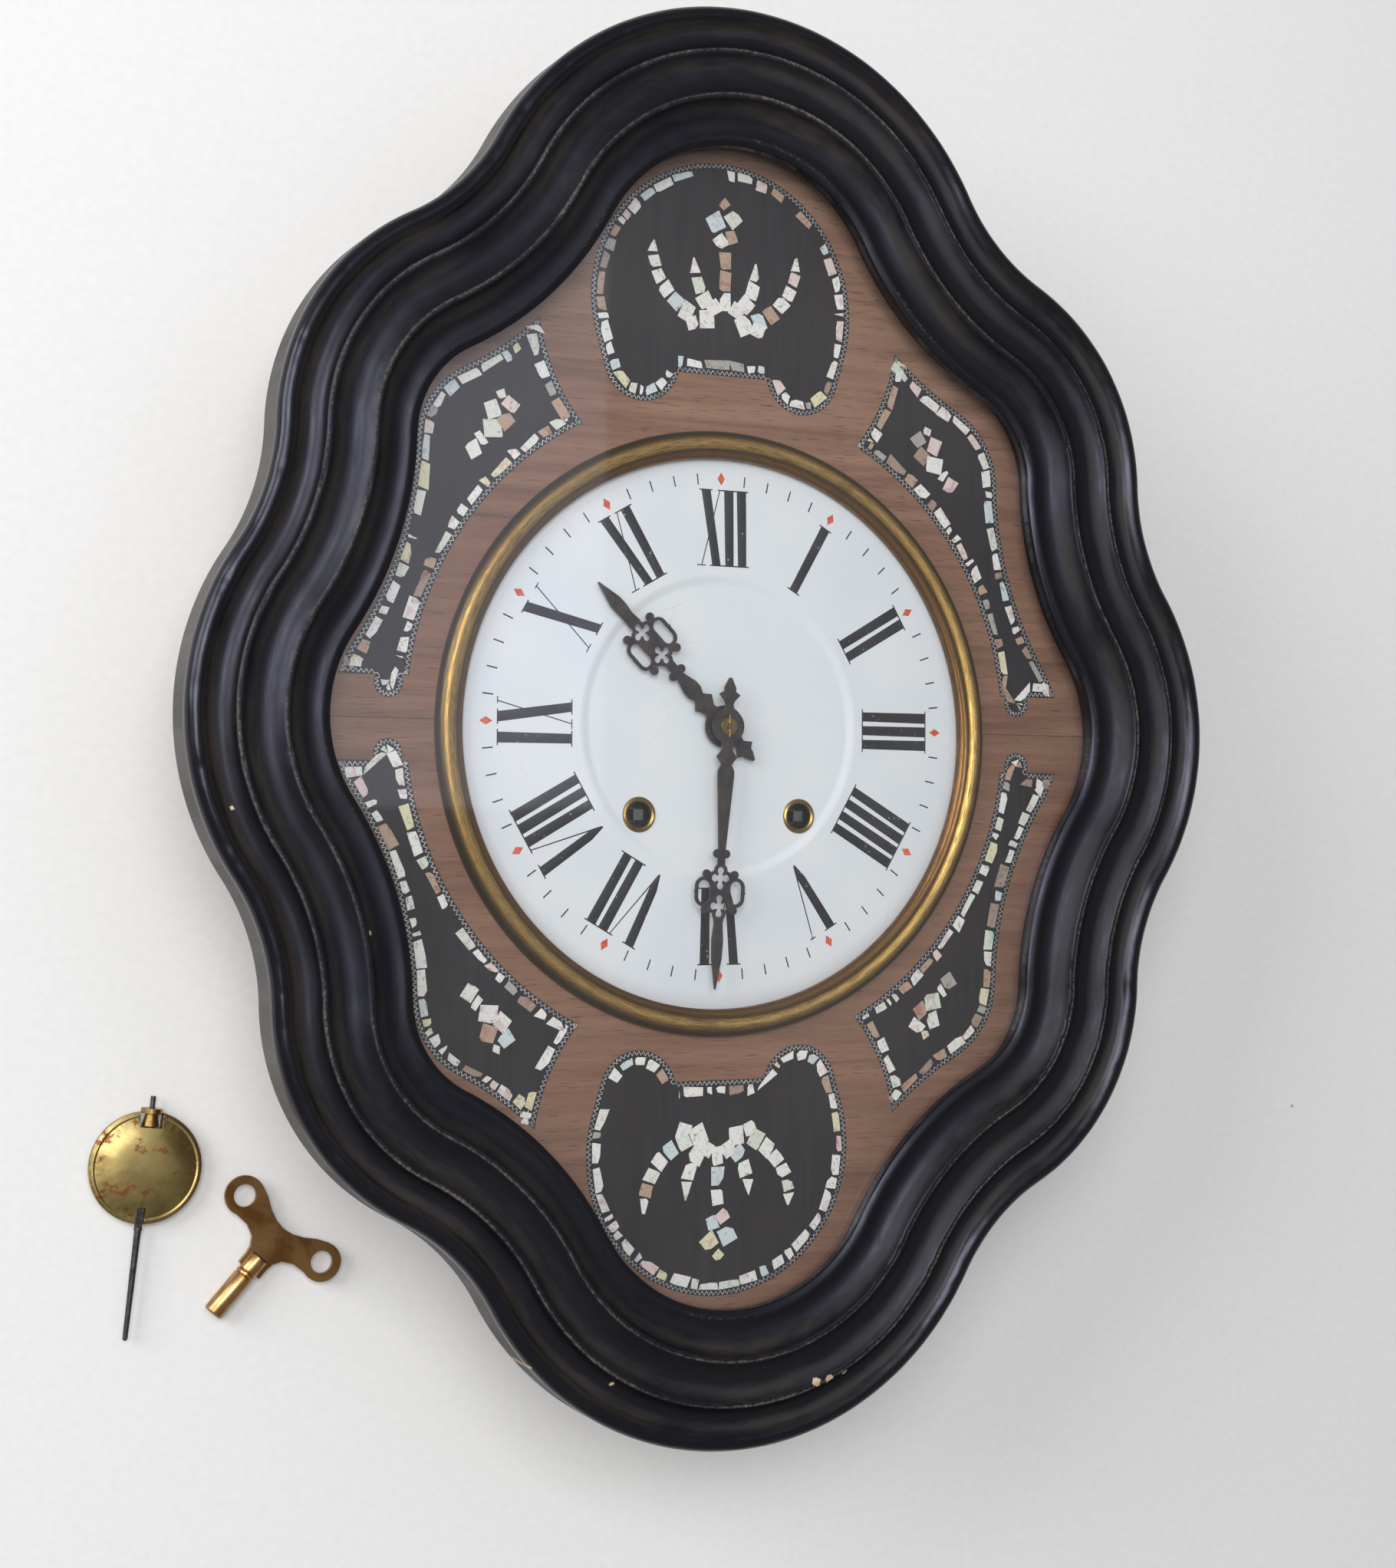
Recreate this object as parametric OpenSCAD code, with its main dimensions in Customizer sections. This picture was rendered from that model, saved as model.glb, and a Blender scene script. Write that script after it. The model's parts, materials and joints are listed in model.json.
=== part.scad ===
// Eight-day striking wall clock with a wavy moulded front, lying on its back.
// Origin: on the axis of the hands, at the back of the case.
// +Z points out of the dial, +Y towards XII, +X towards III. Millimetres.

/* [Front outline] */
// Half height of the wavy front
front_half_h = 310; // [300:1:372]
// Half width of the wavy front
front_half_w = 241; // [236:1:290]
// Radius of the top and bottom lobes
top_r = 128; // [122:1:134]
// Radius of the two side lobes
side_r = 119.4; // [114:0.2:125]
// Radius of the four corner lobes
corner_r = 102.2; // [98:0.2:106]
// Centre of a corner lobe, inwards from the widest point
corner_in_x = 137.8; // [134:0.2:142]
// Centre of a corner lobe, down from the highest point
corner_in_y = 195.8; // [192:0.2:200]
// Hollow between a top lobe and a corner lobe
valley_top_r = 90.8; // [84:0.2:98]
// Hollow between a corner lobe and a side lobe
valley_side_r = 95.8; // [88:0.2:104]

/* [Moulding] */
// Height of the outer wall up to the start of its round edge
wall_h = 19.4; // [17:0.2:22]
// Radius of the round outer edge
edge_r = 4.6; // [3.5:0.1:5]
// Height of the outer ridge, left between the first two flutes
ridge_a_h = 25.6; // [24.5:0.1:28]
// Height of the inner ridge
ridge_b_h = 26.1; // [25:0.1:29]
// Start of the outer ridge, in from the outer wall
ridge_a_in = 19.4; // [18.5:0.1:20.5]
// Start of the inner ridge, in from the outer wall
ridge_b_in = 38.4; // [37.5:0.1:39.5]
// Width of the worn flat on each ridge
ridge_w = 1.9; // [1:0.1:2.5]
// Start of the sight lip, in from the outer wall
lip_in = 55.3; // [54:0.1:57]
// Inner edge of the sight lip, in from the outer wall
sight_in = 59; // [58:0.2:62]
// Height of the sight lip
lip_h = 18.6; // [17:0.1:20]
// Depth of each flute
flute_d = 3.6; // [2.5:0.1:4.5]
// Wall of the glass rebate, in from the outer wall
rebate_in = 52; // [50:0.5:54]
// Height of the rebate that the glass lies in
rebate_h = 13; // [12:0.5:14]

/* [Case] */
// Width of the box behind the front
case_w = 300; // [280:1:320]
// Height of the box behind the front
case_h = 380; // [360:1:400]
// Depth of the box, back board included
case_d = 88; // [88:0.5:100]
// Thickness of the side boards
side_t = 12; // [9:0.5:15]
// Thickness of the back board
back_t = 10; // [10:0.5:14]
// Thickness of the board that carries the dial
board_t = 7.8; // [7:0.2:10]
// Thickness of the walnut veneer
veneer_t = 1.2; // [1:0.1:2]
// Margin of the dial board inside the outer wall
board_in = 12; // [10:0.5:16]
// Gap between the dial board and the closed front
front_gap = 0.3; // [0.2:0.1:0.6]
// Radius of the opening for the dial
dial_hole_r = 126; // [126:0.5:128]

/* [Inlay] */
// Gap from the outer wall to the outer side of the side plaques
plaque_in = 64.5; // [62:0.5:67]
// Radius of the curve that the side plaques follow round the bezel
plaque_bezel_r = 144.5; // [142:0.5:148]
// Straight lower end of the side plaques, above the middle line
plaque_low_y = 17.6; // [15:0.2:20]
// Radius of the round tab on each side plaque
tab_r = 6.3; // [5:0.1:7]
// Radius of the dome of the top and bottom plaques
dome_r = 63; // [58:0.5:65]
// Centre of that dome, in from the outer wall
dome_in = 125.2; // [122:0.2:128]
// Radius of the two lower lobes of the top plaque
lobe_r = 18; // [15:0.5:20]
// Sideways place of those lobes
lobe_x = 39; // [36:0.5:42]
// Gap between the top plaque and the ends of the side plaques
plaque_gap = 24.5; // [20:0.5:28]
// Width of the metal stringing round each plaque
string_w = 0.8; // [0.6:0.1:1.2]
// Thickness of the nacre chips
chip_t = 0.8; // [0.5:0.1:1]
// Width of the border of chips
chip_w = 4.8; // [4:0.1:6]

/* [Dial and hands] */
// Radius of the enamel dial
dial_r = 125.2; // [124:0.2:125.6]
// Thickness of the enamelled plate
dial_t = 1.2; // [1:0.1:1.6]
// Radius of the flat middle of the dial
dial_flat_r = 62; // [58:0.5:64]
// Outer radius of the brass bezel
bezel_r = 132.3; // [131:0.1:134]
// Radius of the bezel's opening
bezel_sight_r = 120.3; // [119:0.1:121]
// Drop of the bezel's centre below the hands
bezel_drop = 3; // [0:0.5:3]
// Length of the minute hand from its axis
minute_len = 114.4; // [100:0.2:118]
// Length of the hour hand from its axis
hour_len = 85; // [75:0.5:92]
// Thickness of the hands
hand_t = 1.1; // [0.8:0.1:1.4]
// Angle of the minute hand at rest, clockwise from XII
minute_at = 183; // [0:0.5:359]
// Angle of the hour hand at rest, clockwise from XII
hour_at = 315; // [0:0.5:359]

/* [Movement] */
// Height of the rear face of the back plate
plate_z = 40; // [38:0.5:42]
// Thickness of the plates
plate_t = 2.5; // [2:0.1:3]
// Gap between the plates
plate_gap = 37.5; // [37.5:0.5:40]
// Half width of the plates
plate_half_w = 74; // [72:0.5:80]
// Half height of the plates
plate_half_h = 78; // [76:0.5:82]
// Sideways and downward place of the winding squares
barrel_x = 38.8; // [38:0.1:40]
// Across the flats of the winding squares
square_w = 4.6; // [4:0.1:4.8]
// Radius of the spring barrels
barrel_r = 26; // [24:0.5:27]
// Radial clearance of a pivot in its hole
pivot_gap = 0.05; // [0.03:0.01:0.08]

/* [Pendulum and key] */
// Radius of the pendulum bob
bob_r = 24.2; // [20:0.2:28]
// Thickness of the pendulum bob
bob_t = 9; // [8:0.5:12]
// Place of the bob on the table
bob_at = [-229.4, -191.4]; // [-260:0.1:260]
// Turn of the pendulum on the table
bob_turn = -6.2; // [-20:0.1:20]
// Length of the rod above the bob's centre
rod_up = 75; // [70:0.5:90]
// Length of the threaded end below the bob's centre
rod_down = 30.6; // [29:0.2:36]
// Place of the key's wings on the table
key_at = [-168.5, -221.6]; // [-260:0.1:260]
// Turn of the key on the table
key_turn = -42; // [-60:0.5:60]
// Distance between the key's two rings
key_span = 46.7; // [40:0.1:52]
// Outer radius of the key's rings
key_ring_r = 8.8; // [7:0.1:10]
// Radius of the holes in the rings
key_hole_r = 5; // [4:0.1:6]
// Radius of the key's pipe
key_pipe_r = 4.5; // [4.2:0.1:5.5]

/* [Hidden] */
$fn = 64;
side = [-1, 1];

// Heights worked out from the stack of boards.
board_z = case_d;
veneer_z = board_z + board_t;
front_z = veneer_z + veneer_t;
frame_z = front_z + front_gap;
glass_t = 2;
glass_z = frame_z + rebate_h - glass_t;
top_plate_z = plate_z + plate_t + plate_gap;
train_z = top_plate_z + plate_t;
dial_z = front_z - 1.1;
hand_low_z = front_z + 2.3;
hand_high_z = front_z + 6.2;

// Plan of the front: lobes joined by hollows, all tangent arcs.
top_c = [0, front_half_h - top_r];
side_c = [front_half_w - side_r, 0];
corner_c = [front_half_w - corner_in_x, front_half_h - corner_in_y];
function tangent_centre(a, ra, b, rb, r) =
    let (d = norm(b - a), u = (b - a) / d, la = ra + r, lb = rb + r,
         s = (d * d + la * la - lb * lb) / (2 * d), h = sqrt(la * la - s * s))
    a + s * u + h * [-u[1], u[0]];
function heading(a, b) = atan2(b[1] - a[1], b[0] - a[0]);
hollow_a = tangent_centre(top_c, top_r, corner_c, corner_r, valley_top_r);
hollow_b = tangent_centre(corner_c, corner_r, side_c, side_r, valley_side_r);
function arc_points(c, r, a0, a1, n) = [for (i = [0:n]) c + r * [cos(a0 + (a1 - a0) * i / n),
                                                                sin(a0 + (a1 - a0) * i / n)]];
function turned(a) = a < 0 ? a + 360 : a;
// One quarter of the outline, set in by a distance, from the top to the side.
function quarter(in, n = 9) = concat(
    arc_points(top_c, top_r - in, 90, heading(top_c, hollow_a), n),
    arc_points(hollow_a, valley_top_r + in, turned(heading(hollow_a, top_c)),
               turned(heading(hollow_a, corner_c)), n),
    arc_points(corner_c, corner_r - in, heading(corner_c, hollow_a), heading(corner_c, hollow_b), n),
    arc_points(hollow_b, valley_side_r + in, turned(heading(hollow_b, corner_c)),
               turned(heading(hollow_b, side_c)), n),
    arc_points(side_c, side_r - in, heading(side_c, hollow_b), 0, n));
function every_other(p) = [for (i = [1:len(p) - 2]) if (norm(p[i] - p[i - 1]) > 0.01) p[i]];
function flipped(p, sx, sy) = [for (i = [len(p) - 1:-1:0]) [p[i][0] * sx, p[i][1] * sy]];
function inner(p) = [for (i = [1:len(p) - 2]) p[i]];
function outline(in) = let (q = concat([quarter(in)[0]], every_other(quarter(in)), [[front_half_w - in, 0]]))
    concat(q, inner(flipped(q, 1, -1)), [for (v = q) -v], inner(flipped(q, -1, 1)));

module plan(in) polygon(flipped(outline(in), 1, 1));

// Shapes of the plaques, set in by a distance.
dome_c = [0, front_half_h - dome_in];
lobe_c = [lobe_x, dome_c[1] - 26.8];
plaque_edge_y = dome_c[1] - 30.6;
tab_c = [front_half_w - 88.9, plaque_low_y - 2.9];
module dome_plaque(in) {
    spread = lobe_c - dome_c;
    lean = heading([0, 0], spread) + acos((dome_r - lobe_r) / norm(spread));
    low = 180 + asin((lobe_c[1] - plaque_edge_y - in) / (lobe_r - in));
    right = concat(arc_points(lobe_c, lobe_r - in, low, 360 + lean, 12),
                   arc_points(dome_c, dome_r - in, lean, 90, 12));
    polygon(concat(right, inner(flipped(right, -1, 1)), [[-right[0][0], right[0][1]]]));
}
module side_plaque(in) {
    intersection() {
        plan(plaque_in + in);
        difference() {
            translate([40, plaque_low_y + in]) square([front_half_w, front_half_h]);
            circle(plaque_bezel_r + in, $fn = 128);
            translate(dome_c) circle(dome_r + plaque_gap + in, $fn = 128);
        }
    }
    if (in < tab_r) difference() {
        translate(tab_c) circle(tab_r - in);
        translate([tab_c[0] - tab_r, plaque_low_y + in + 1]) square(2 * tab_r);
    }
}
module all_plaques(in) {
    dome_plaque(in);
    mirror([0, 1]) dome_plaque(in);
    for (sx = [0, 1], sy = [0, 1]) mirror([sx, 0]) mirror([0, sy]) side_plaque(in);
}
module ring_of_chips(grow = 0) {
    chip_in = string_w + 0.9;
    difference() {
        all_plaques(chip_in - grow);
        all_plaques(chip_in + chip_w + grow);
    }
}
// A branch of the palmette: chips set along part of an ellipse.
module branch(c, half_w, half_h, a0, a1, n, size, grow)
    for (i = [0:n - 1]) {
        a = a0 + (a1 - a0) * i / (n - 1);
        lie = atan2(half_h * cos(a), -half_w * sin(a));
        s = size * (1 - 0.45 * i / (n - 1));
        translate(c + [half_w * cos(a), half_h * sin(a)]) rotate(lie)
            square([s * 1.15 + 2 * grow, s + 2 * grow], center = true);
    }
module palmette(grow) {
    stem_c = [0, dome_c[1] + 20];
    for (m = [0, 1]) mirror([m, 0]) {
        branch(stem_c + [0, 3], 35, 32, 291, 358, 8, 5.2, grow);
        branch(stem_c, 15, 24, 300, 344, 4, 4.6, grow);
        translate(stem_c + [4.1, 18.5]) rotate(35) square(6 + 2 * grow, center = true);
    }
    for (i = [0:2]) translate(stem_c + [0, -9 + 8 * i]) square([5.2 + 2 * grow, 7 + 2 * grow], center = true);
    translate(stem_c + [0, 25.6]) rotate(45) square(4 + 2 * grow, center = true);
}
module bud(grow) {
    mid = [107, 127];
    translate(mid) rotate(58) {
        for (s = side) translate([3.6, s * 3.3]) square([6 + 2 * grow, 5.6 + 2 * grow], center = true);
        translate([-4.2, 0]) square([7 + 2 * grow, 6.6 + 2 * grow], center = true);
        translate([10.6, 0]) square([4 + 2 * grow, 3.6 + 2 * grow], center = true);
        translate([-14, 0]) square([4.6 + 2 * grow, 5 + 2 * grow], center = true);
    }
}
module motifs(grow = 0) {
    palmette(grow);
    mirror([0, 1]) palmette(grow);
    for (sx = [0, 1], sy = [0, 1]) mirror([sx, 0]) mirror([0, sy]) bud(grow);
}

// Case.
module case_boards() color("BurlyWood") {
    for (s = side) translate([s * (case_w / 2 - side_t / 2), 0, back_t + (board_z - back_t) / 2])
        cube([side_t, case_h, board_z - back_t], center = true);
    for (s = side) translate([0, s * (case_h / 2 - side_t / 2), back_t + (board_z - back_t) / 2])
        cube([case_w - 2 * side_t, side_t, board_z - back_t], center = true);
}

// Rear door and its opening in the back board.
rear_w = 80;
rear_top_y = -20;
rear_h = 92;
rear_gap = 0.4;
ledge = 4;
door_low_z = 3.2;
door_t = 4;
rear_axis = [-rear_w / 2, door_low_z - 1.6];
button_at = [rear_w / 2 + 8, rear_top_y - rear_h / 2];
button_r = 13.5;
knuckle_r = 1.5;
rear_leaf_w = 14;
rear_knuckle_l = 10;
hang_w = 40;
hang_t = 2.5;
hang_y = [case_h / 2 - 30, case_h / 2 + 26];
hang_hole = [0, case_h / 2 + 14, 4];
module rear_leaf_places() for (s = side) translate([0, rear_top_y - rear_h / 2 + s * 28]) children();
module back_board() color("Peru") difference() {
    translate([-case_w / 2, -case_h / 2, 0]) cube([case_w, case_h, back_t]);
    translate([-rear_w / 2, rear_top_y - rear_h, -1]) cube([rear_w, rear_h, door_low_z + door_t + 1]);
    translate([-rear_w / 2 + ledge, rear_top_y - rear_h + ledge, -1])
        cube([rear_w - 2 * ledge, rear_h - 2 * ledge, back_t + 2]);
    translate([button_at[0], button_at[1], -1]) cylinder(r = button_r + 1, h = door_low_z + 1);
    translate([button_at[0], button_at[1], 0]) cylinder(r = 1.5 + pivot_gap, h = back_t - 2);
    rear_leaf_places() translate([-rear_w / 2 - rear_leaf_w - 1, -rear_knuckle_l - 1, -1])
        cube([rear_leaf_w + 2, 2 * rear_knuckle_l + 2, door_low_z + 1]);
    translate([-hang_w / 2 - 0.1, hang_y[0] - 0.1, -1]) cube([hang_w + 0.2, 60, hang_t + 1]);
    for (s = side) translate([s * 13, hang_y[0] + 9, 0]) cylinder(r = 1.7, h = back_t - 0.6);
}
module rear_door() color("Peru") difference() {
    translate([-rear_w / 2 + rear_gap, rear_top_y - rear_h + rear_gap, door_low_z])
        cube([rear_w - 2 * rear_gap, rear_h - 2 * rear_gap, door_t - 0.2]);
    translate([rear_w / 2 - 12, button_at[1], door_low_z - 1]) cylinder(r = 4, h = 2.2);
}
// Rear hinge: the door's leaf has the middle knuckle, the board's leaf the two outer ones.
module knuckle(r, hole, l) rotate([-90, 0, 0]) difference() {
    cylinder(r = r, h = l, center = true);
    cylinder(r = hole, h = l + 2, center = true);
}
module rear_hinge_leaf() color("Goldenrod") rear_leaf_places() {
    translate([rear_axis[0], 0, rear_axis[1]]) {
        translate([0.9, -3, 0.5]) cube([rear_leaf_w - 2, 6, 1.1]);
        rotate([-90, 0, 0]) cylinder(r = knuckle_r, h = 6, center = true);
        rotate([-90, 0, 0]) cylinder(r = 0.7, h = 2 * rear_knuckle_l, center = true);
    }
}
module turn_button() color("Goldenrod") translate([button_at[0], button_at[1], 0]) {
    translate([-3, -button_r, 1.7]) cube([6, 2 * button_r - 2, 1.3]);
    translate([0, 0, 0.5]) cylinder(r = 3, h = 1.2);
    translate([0, 0, 0.5]) cylinder(r = 1.5, h = back_t - 3);
}

// Front hinge, on the left, between the dial board and the moulded front.
hinge_x = -(front_half_w - 13);
hinge_z = front_z + front_gap / 2;
hinge_y = [-28, 28];
hinge_l = 26;
hinge_leaf_w = 16;
hinge_leaf_t = 1.2;
hinge_r = 2;
pin_r = 1;
board_cut_x = hinge_x + hinge_r + 1;
module door_leaf_pocket() for (y = hinge_y) translate([hinge_x, y - hinge_l / 2 - 0.5, frame_z - 1]) {
    cube([hinge_leaf_w + hinge_r, hinge_l + 1, hinge_leaf_t + 1]);
    translate([-hinge_r - 0.5, 0, 0]) cube([2 * hinge_r + 1, hinge_l + 1, hinge_r + 1.1]);
}
module panel_board() color("Sienna") difference() {
    translate([0, 0, board_z]) linear_extrude(board_t) plan(board_in);
    translate([0, 0, board_z - 1]) cylinder(r = dial_hole_r, h = board_t + 2, $fn = 128);
    translate([board_cut_x - 40, -50, board_z - 1]) cube([40, 100, board_t + 2]);
    for (y = hinge_y) translate([board_cut_x - 1, y - hinge_l / 2 - 0.2, hinge_z - hinge_leaf_t - 0.1])
        cube([hinge_leaf_w, hinge_l + 0.4, 5]);
    translate([hook_pivot[0], hook_pivot[1], board_z - 1]) cylinder(r = 1.5, h = 7);
    for (y = bar_y, s = side) translate([s * bar_end, y, board_z - 1]) cylinder(r = 1.6, h = 5.8);
}
module walnut_veneer() color("SaddleBrown") difference() {
    translate([0, 0, veneer_z]) linear_extrude(veneer_t) difference() {
        plan(board_in);
        circle(dial_hole_r, $fn = 128);
        all_plaques(0);
        translate([board_cut_x - 40, -50]) square([40, 100]);
    }
    for (y = hinge_y) translate([board_cut_x - 1, y - hinge_l / 2 - 0.2, veneer_z - 1])
        cube([hinge_leaf_w, hinge_l + 0.4, 5]);
}
module ebony_plaques() color("DimGray") difference() {
    translate([0, 0, veneer_z]) linear_extrude(veneer_t) all_plaques(string_w);
    translate([0, 0, front_z - chip_t]) linear_extrude(2) {
        ring_of_chips(0.1);
        motifs(0.1);
    }
}
module metal_stringing() color("Silver") translate([0, 0, veneer_z]) linear_extrude(veneer_t) difference() {
    all_plaques(0);
    all_plaques(string_w);
}
ray_w = 0.5;
module nacre_chips() color("Ivory") translate([0, 0, front_z - chip_t]) linear_extrude(chip_t) {
    difference() {
        ring_of_chips();
        for (m = [0, 1]) mirror([0, m]) {
            translate(dome_c) for (a = [5:10:355]) rotate(a) translate([0, -ray_w / 2]) square([82, ray_w]);
            for (n = [0, 1]) mirror([n, 0]) for (a = [4:4:64]) rotate(a)
                translate([dial_hole_r, -ray_w / 2]) square([90, ray_w]);
        }
    }
    motifs();
}

// Front: a moulded frame that opens as a door.
function flute(u0, h0, u1, h1, n = 7) = let (a = [u0, h0], b = [u1, h1], w = norm(b - a),
        r = (w * w / 4 + flute_d * flute_d) / (2 * flute_d), m = (a + b) / 2,
        c = m + (r - flute_d) * [-(b - a)[1], (b - a)[0]] / w,
        a0 = heading(c, a), a1 = heading(c, b) > heading(c, a) ? heading(c, b) : heading(c, b) + 360)
    inner(arc_points(c, r, a0, a1, n));
module moulding_profile() polygon(concat(
    [[0, 0]],
    arc_points([edge_r, wall_h], edge_r, 180, 78, 6),
    [[edge_r + 3.2, wall_h + edge_r - 1.6]],
    flute(edge_r + 3.2, wall_h + edge_r - 1.6, ridge_a_in, ridge_a_h),
    [[ridge_a_in, ridge_a_h], [ridge_a_in + ridge_w, ridge_a_h]],
    flute(ridge_a_in + ridge_w, ridge_a_h, ridge_b_in, ridge_b_h),
    [[ridge_b_in, ridge_b_h], [ridge_b_in + ridge_w, ridge_b_h]],
    flute(ridge_b_in + ridge_w, ridge_b_h, lip_in, lip_h),
    [[lip_in, lip_h], [lip_in + 1.4, lip_h], [sight_in, lip_h - 0.6], [sight_in, rebate_h],
     [rebate_in, rebate_h], [rebate_in, 0]]));
// The moulding is worked in segments with hairline joints, all glued round one core.
joint_a = 0.015;
module lobe_sweep(c, r, a0, a1) translate(c) rotate(a0 + joint_a)
    rotate_extrude(angle = a1 - a0 - 2 * joint_a, $fn = 128)
    translate([r, 0]) mirror([1, 0]) moulding_profile();
module hollow_sweep(c, r, a0, a1) translate(c) rotate(a0 + joint_a)
    rotate_extrude(angle = a1 - a0 - 2 * joint_a, $fn = 128)
    translate([r, 0]) moulding_profile();
module door_frame() color("Black") difference() {
    translate([0, 0, frame_z]) union() {
        translate([0, 0, 2]) linear_extrude(9) difference() {
            plan(2);
            plan(rebate_in - 2);
        }
        for (m = [0, 1]) {
            mirror([0, m]) lobe_sweep(top_c, top_r, heading(top_c, hollow_a), 180 - heading(top_c, hollow_a));
            mirror([m, 0]) lobe_sweep(side_c, side_r, -heading(side_c, hollow_b), heading(side_c, hollow_b));
        }
        for (mx = [0, 1], my = [0, 1]) mirror([mx, 0]) mirror([0, my]) {
            lobe_sweep(corner_c, corner_r, heading(corner_c, hollow_b), heading(corner_c, hollow_a));
            hollow_sweep(hollow_a, valley_top_r, turned(heading(hollow_a, top_c)),
                         turned(heading(hollow_a, corner_c)));
            hollow_sweep(hollow_b, valley_side_r, turned(heading(hollow_b, corner_c)),
                         turned(heading(hollow_b, side_c)));
        }
    }
    door_leaf_pocket();
    translate([catch_at[0], catch_at[1], frame_z - 1]) cylinder(r = 1.5, h = 9);
}
module door_glass() color("LightCyan", 0.35) translate([0, 0, glass_z]) linear_extrude(glass_t)
    plan(rebate_in + 0.4);
wedge = [9, 3, 3];
module wedge_in_lobe(c, r, a) translate(c) rotate(a)
    translate([r - rebate_in - wedge[1] - 0.6, -wedge[0] / 2, glass_z - wedge[2]])
    cube([wedge[1], wedge[0], wedge[2]]);
module glass_wedges() color("Peru") {
    for (mx = [0, 1], my = [0, 1]) mirror([mx, 0]) mirror([0, my])
        wedge_in_lobe(corner_c, corner_r, heading([0, 0], corner_c));
    for (m = [0, 1]) {
        mirror([m, 0]) wedge_in_lobe(side_c, side_r, 10);
        mirror([0, m]) wedge_in_lobe(top_c, top_r, 80);
    }
}
outer_knuckle = 7;
middle_knuckle = hinge_l - 2 * outer_knuckle - 1;
module fixed_hinge_leaves() color("Goldenrod") {
    for (y = hinge_y, s = side) translate([hinge_x, y + s * (hinge_l - outer_knuckle) / 2, hinge_z]) {
        knuckle(hinge_r, pin_r + pivot_gap, outer_knuckle);
        translate([hinge_r * 0.6, -outer_knuckle / 2, -hinge_leaf_t])
            cube([hinge_leaf_w, outer_knuckle, hinge_leaf_t]);
    }
    rear_leaf_places() for (s = side) translate([rear_axis[0], s * (rear_knuckle_l - 3.3), rear_axis[1]]) {
        knuckle(knuckle_r, 0.7 + pivot_gap, 6.4);
        translate([-rear_leaf_w + 1, -3.2, 0.5]) cube([rear_leaf_w - 1.9, 6.4, 1.1]);
    }
}
module door_hinge_leaves() color("Goldenrod") for (y = hinge_y) translate([hinge_x, y, hinge_z]) {
    rotate([-90, 0, 0]) cylinder(r = hinge_r, h = middle_knuckle, center = true);
    rotate([-90, 0, 0]) cylinder(r = pin_r, h = hinge_l, center = true);
    translate([hinge_r * 0.6, -middle_knuckle / 2, front_gap / 2])
        cube([hinge_leaf_w, middle_knuckle, hinge_leaf_t]);
}
catch_at = [front_half_w - 7, 0];
hook_pivot = [front_half_w - 36, 0];
module catch_pin() color("Goldenrod") translate([catch_at[0], catch_at[1], 0]) {
    translate([0, 0, board_z - 4]) cylinder(r = 1.5, h = frame_z + 8 - board_z + 4);
    translate([0, 0, board_z - 4.6]) cylinder(r1 = 1, r2 = 1.5, h = 0.6);
}
// Hook: a flat bar whose open mouth takes the catch pin from below.
module door_hook() color("Goldenrod") {
    reach = catch_at[0] - hook_pivot[0];
    translate([hook_pivot[0], hook_pivot[1], board_z - 2.2]) {
        difference() {
            linear_extrude(2) {
                circle(4);
                translate([0, -2]) square([reach, 5.4]);
                translate([reach, 0]) circle(4.2);
            }
            translate([reach, 0, -1]) cylinder(r = 1.7, h = 4);
            translate([reach - 1.7, -10, -1]) cube([3.4, 10, 4]);
        }
        translate([0, 0, -1.2]) cylinder(r = 3.2, h = 1.2);
        cylinder(r = 1.45, h = 7);
    }
}

// Hanging plate and screws.
module hanging_plate() color("DimGray") difference() {
    translate([-hang_w / 2, hang_y[0], 0]) cube([hang_w, hang_y[1] - hang_y[0], hang_t]);
    translate([hang_hole[0], hang_hole[1], -1]) cylinder(r = hang_hole[2], h = hang_t + 2);
    for (s = side) translate([s * 13, hang_y[0] + 9, -1]) cylinder(r = 3.4, h = 2.6);
    for (s = side) translate([s * 13, hang_y[0] + 9, -1]) cylinder(r = 1.8, h = hang_t + 2);
}
bar_y = [-50, 50];
bar_end = sqrt(dial_hole_r * dial_hole_r - bar_y[1] * bar_y[1]) + 8;
module screw(head_r, head_h, shank_r, l) {
    cylinder(r = head_r, h = head_h);
    cylinder(r = shank_r, h = l);
}
module case_screws() color("Gray") {
    for (s = side) translate([s * 13, hang_y[0] + 9, 0.4]) screw(3.3, 1.1, 1.7, 9);
    for (y = bar_y, s = side) translate([s * bar_end, y, board_z - 5.2]) screw(3, 2.2, 1.6, 10);
    for (y = bar_y, s = side) translate([s * 64, y, 0]) {
        translate([0, 0, board_z]) cylinder(r = 3, h = 1.8);
        translate([0, 0, top_plate_z + 0.5]) cylinder(r = 1.5, h = board_z - top_plate_z);
        translate([0, 0, train_z]) cylinder(r = 3.4, h = board_z - 3 - train_z);
    }
}
module movement_bars() color("DimGray") difference() {
    for (y = bar_y) translate([-bar_end - 8, y - 6.5, board_z - 3]) cube([2 * bar_end + 16, 13, 3]);
    for (y = bar_y, s = side) translate([s * bar_end, y, board_z - 4]) cylinder(r = 1.7, h = 5);
    for (y = bar_y, s = side) translate([s * 64, y, board_z - 4]) cylinder(r = 1.6, h = 5);
}

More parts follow.
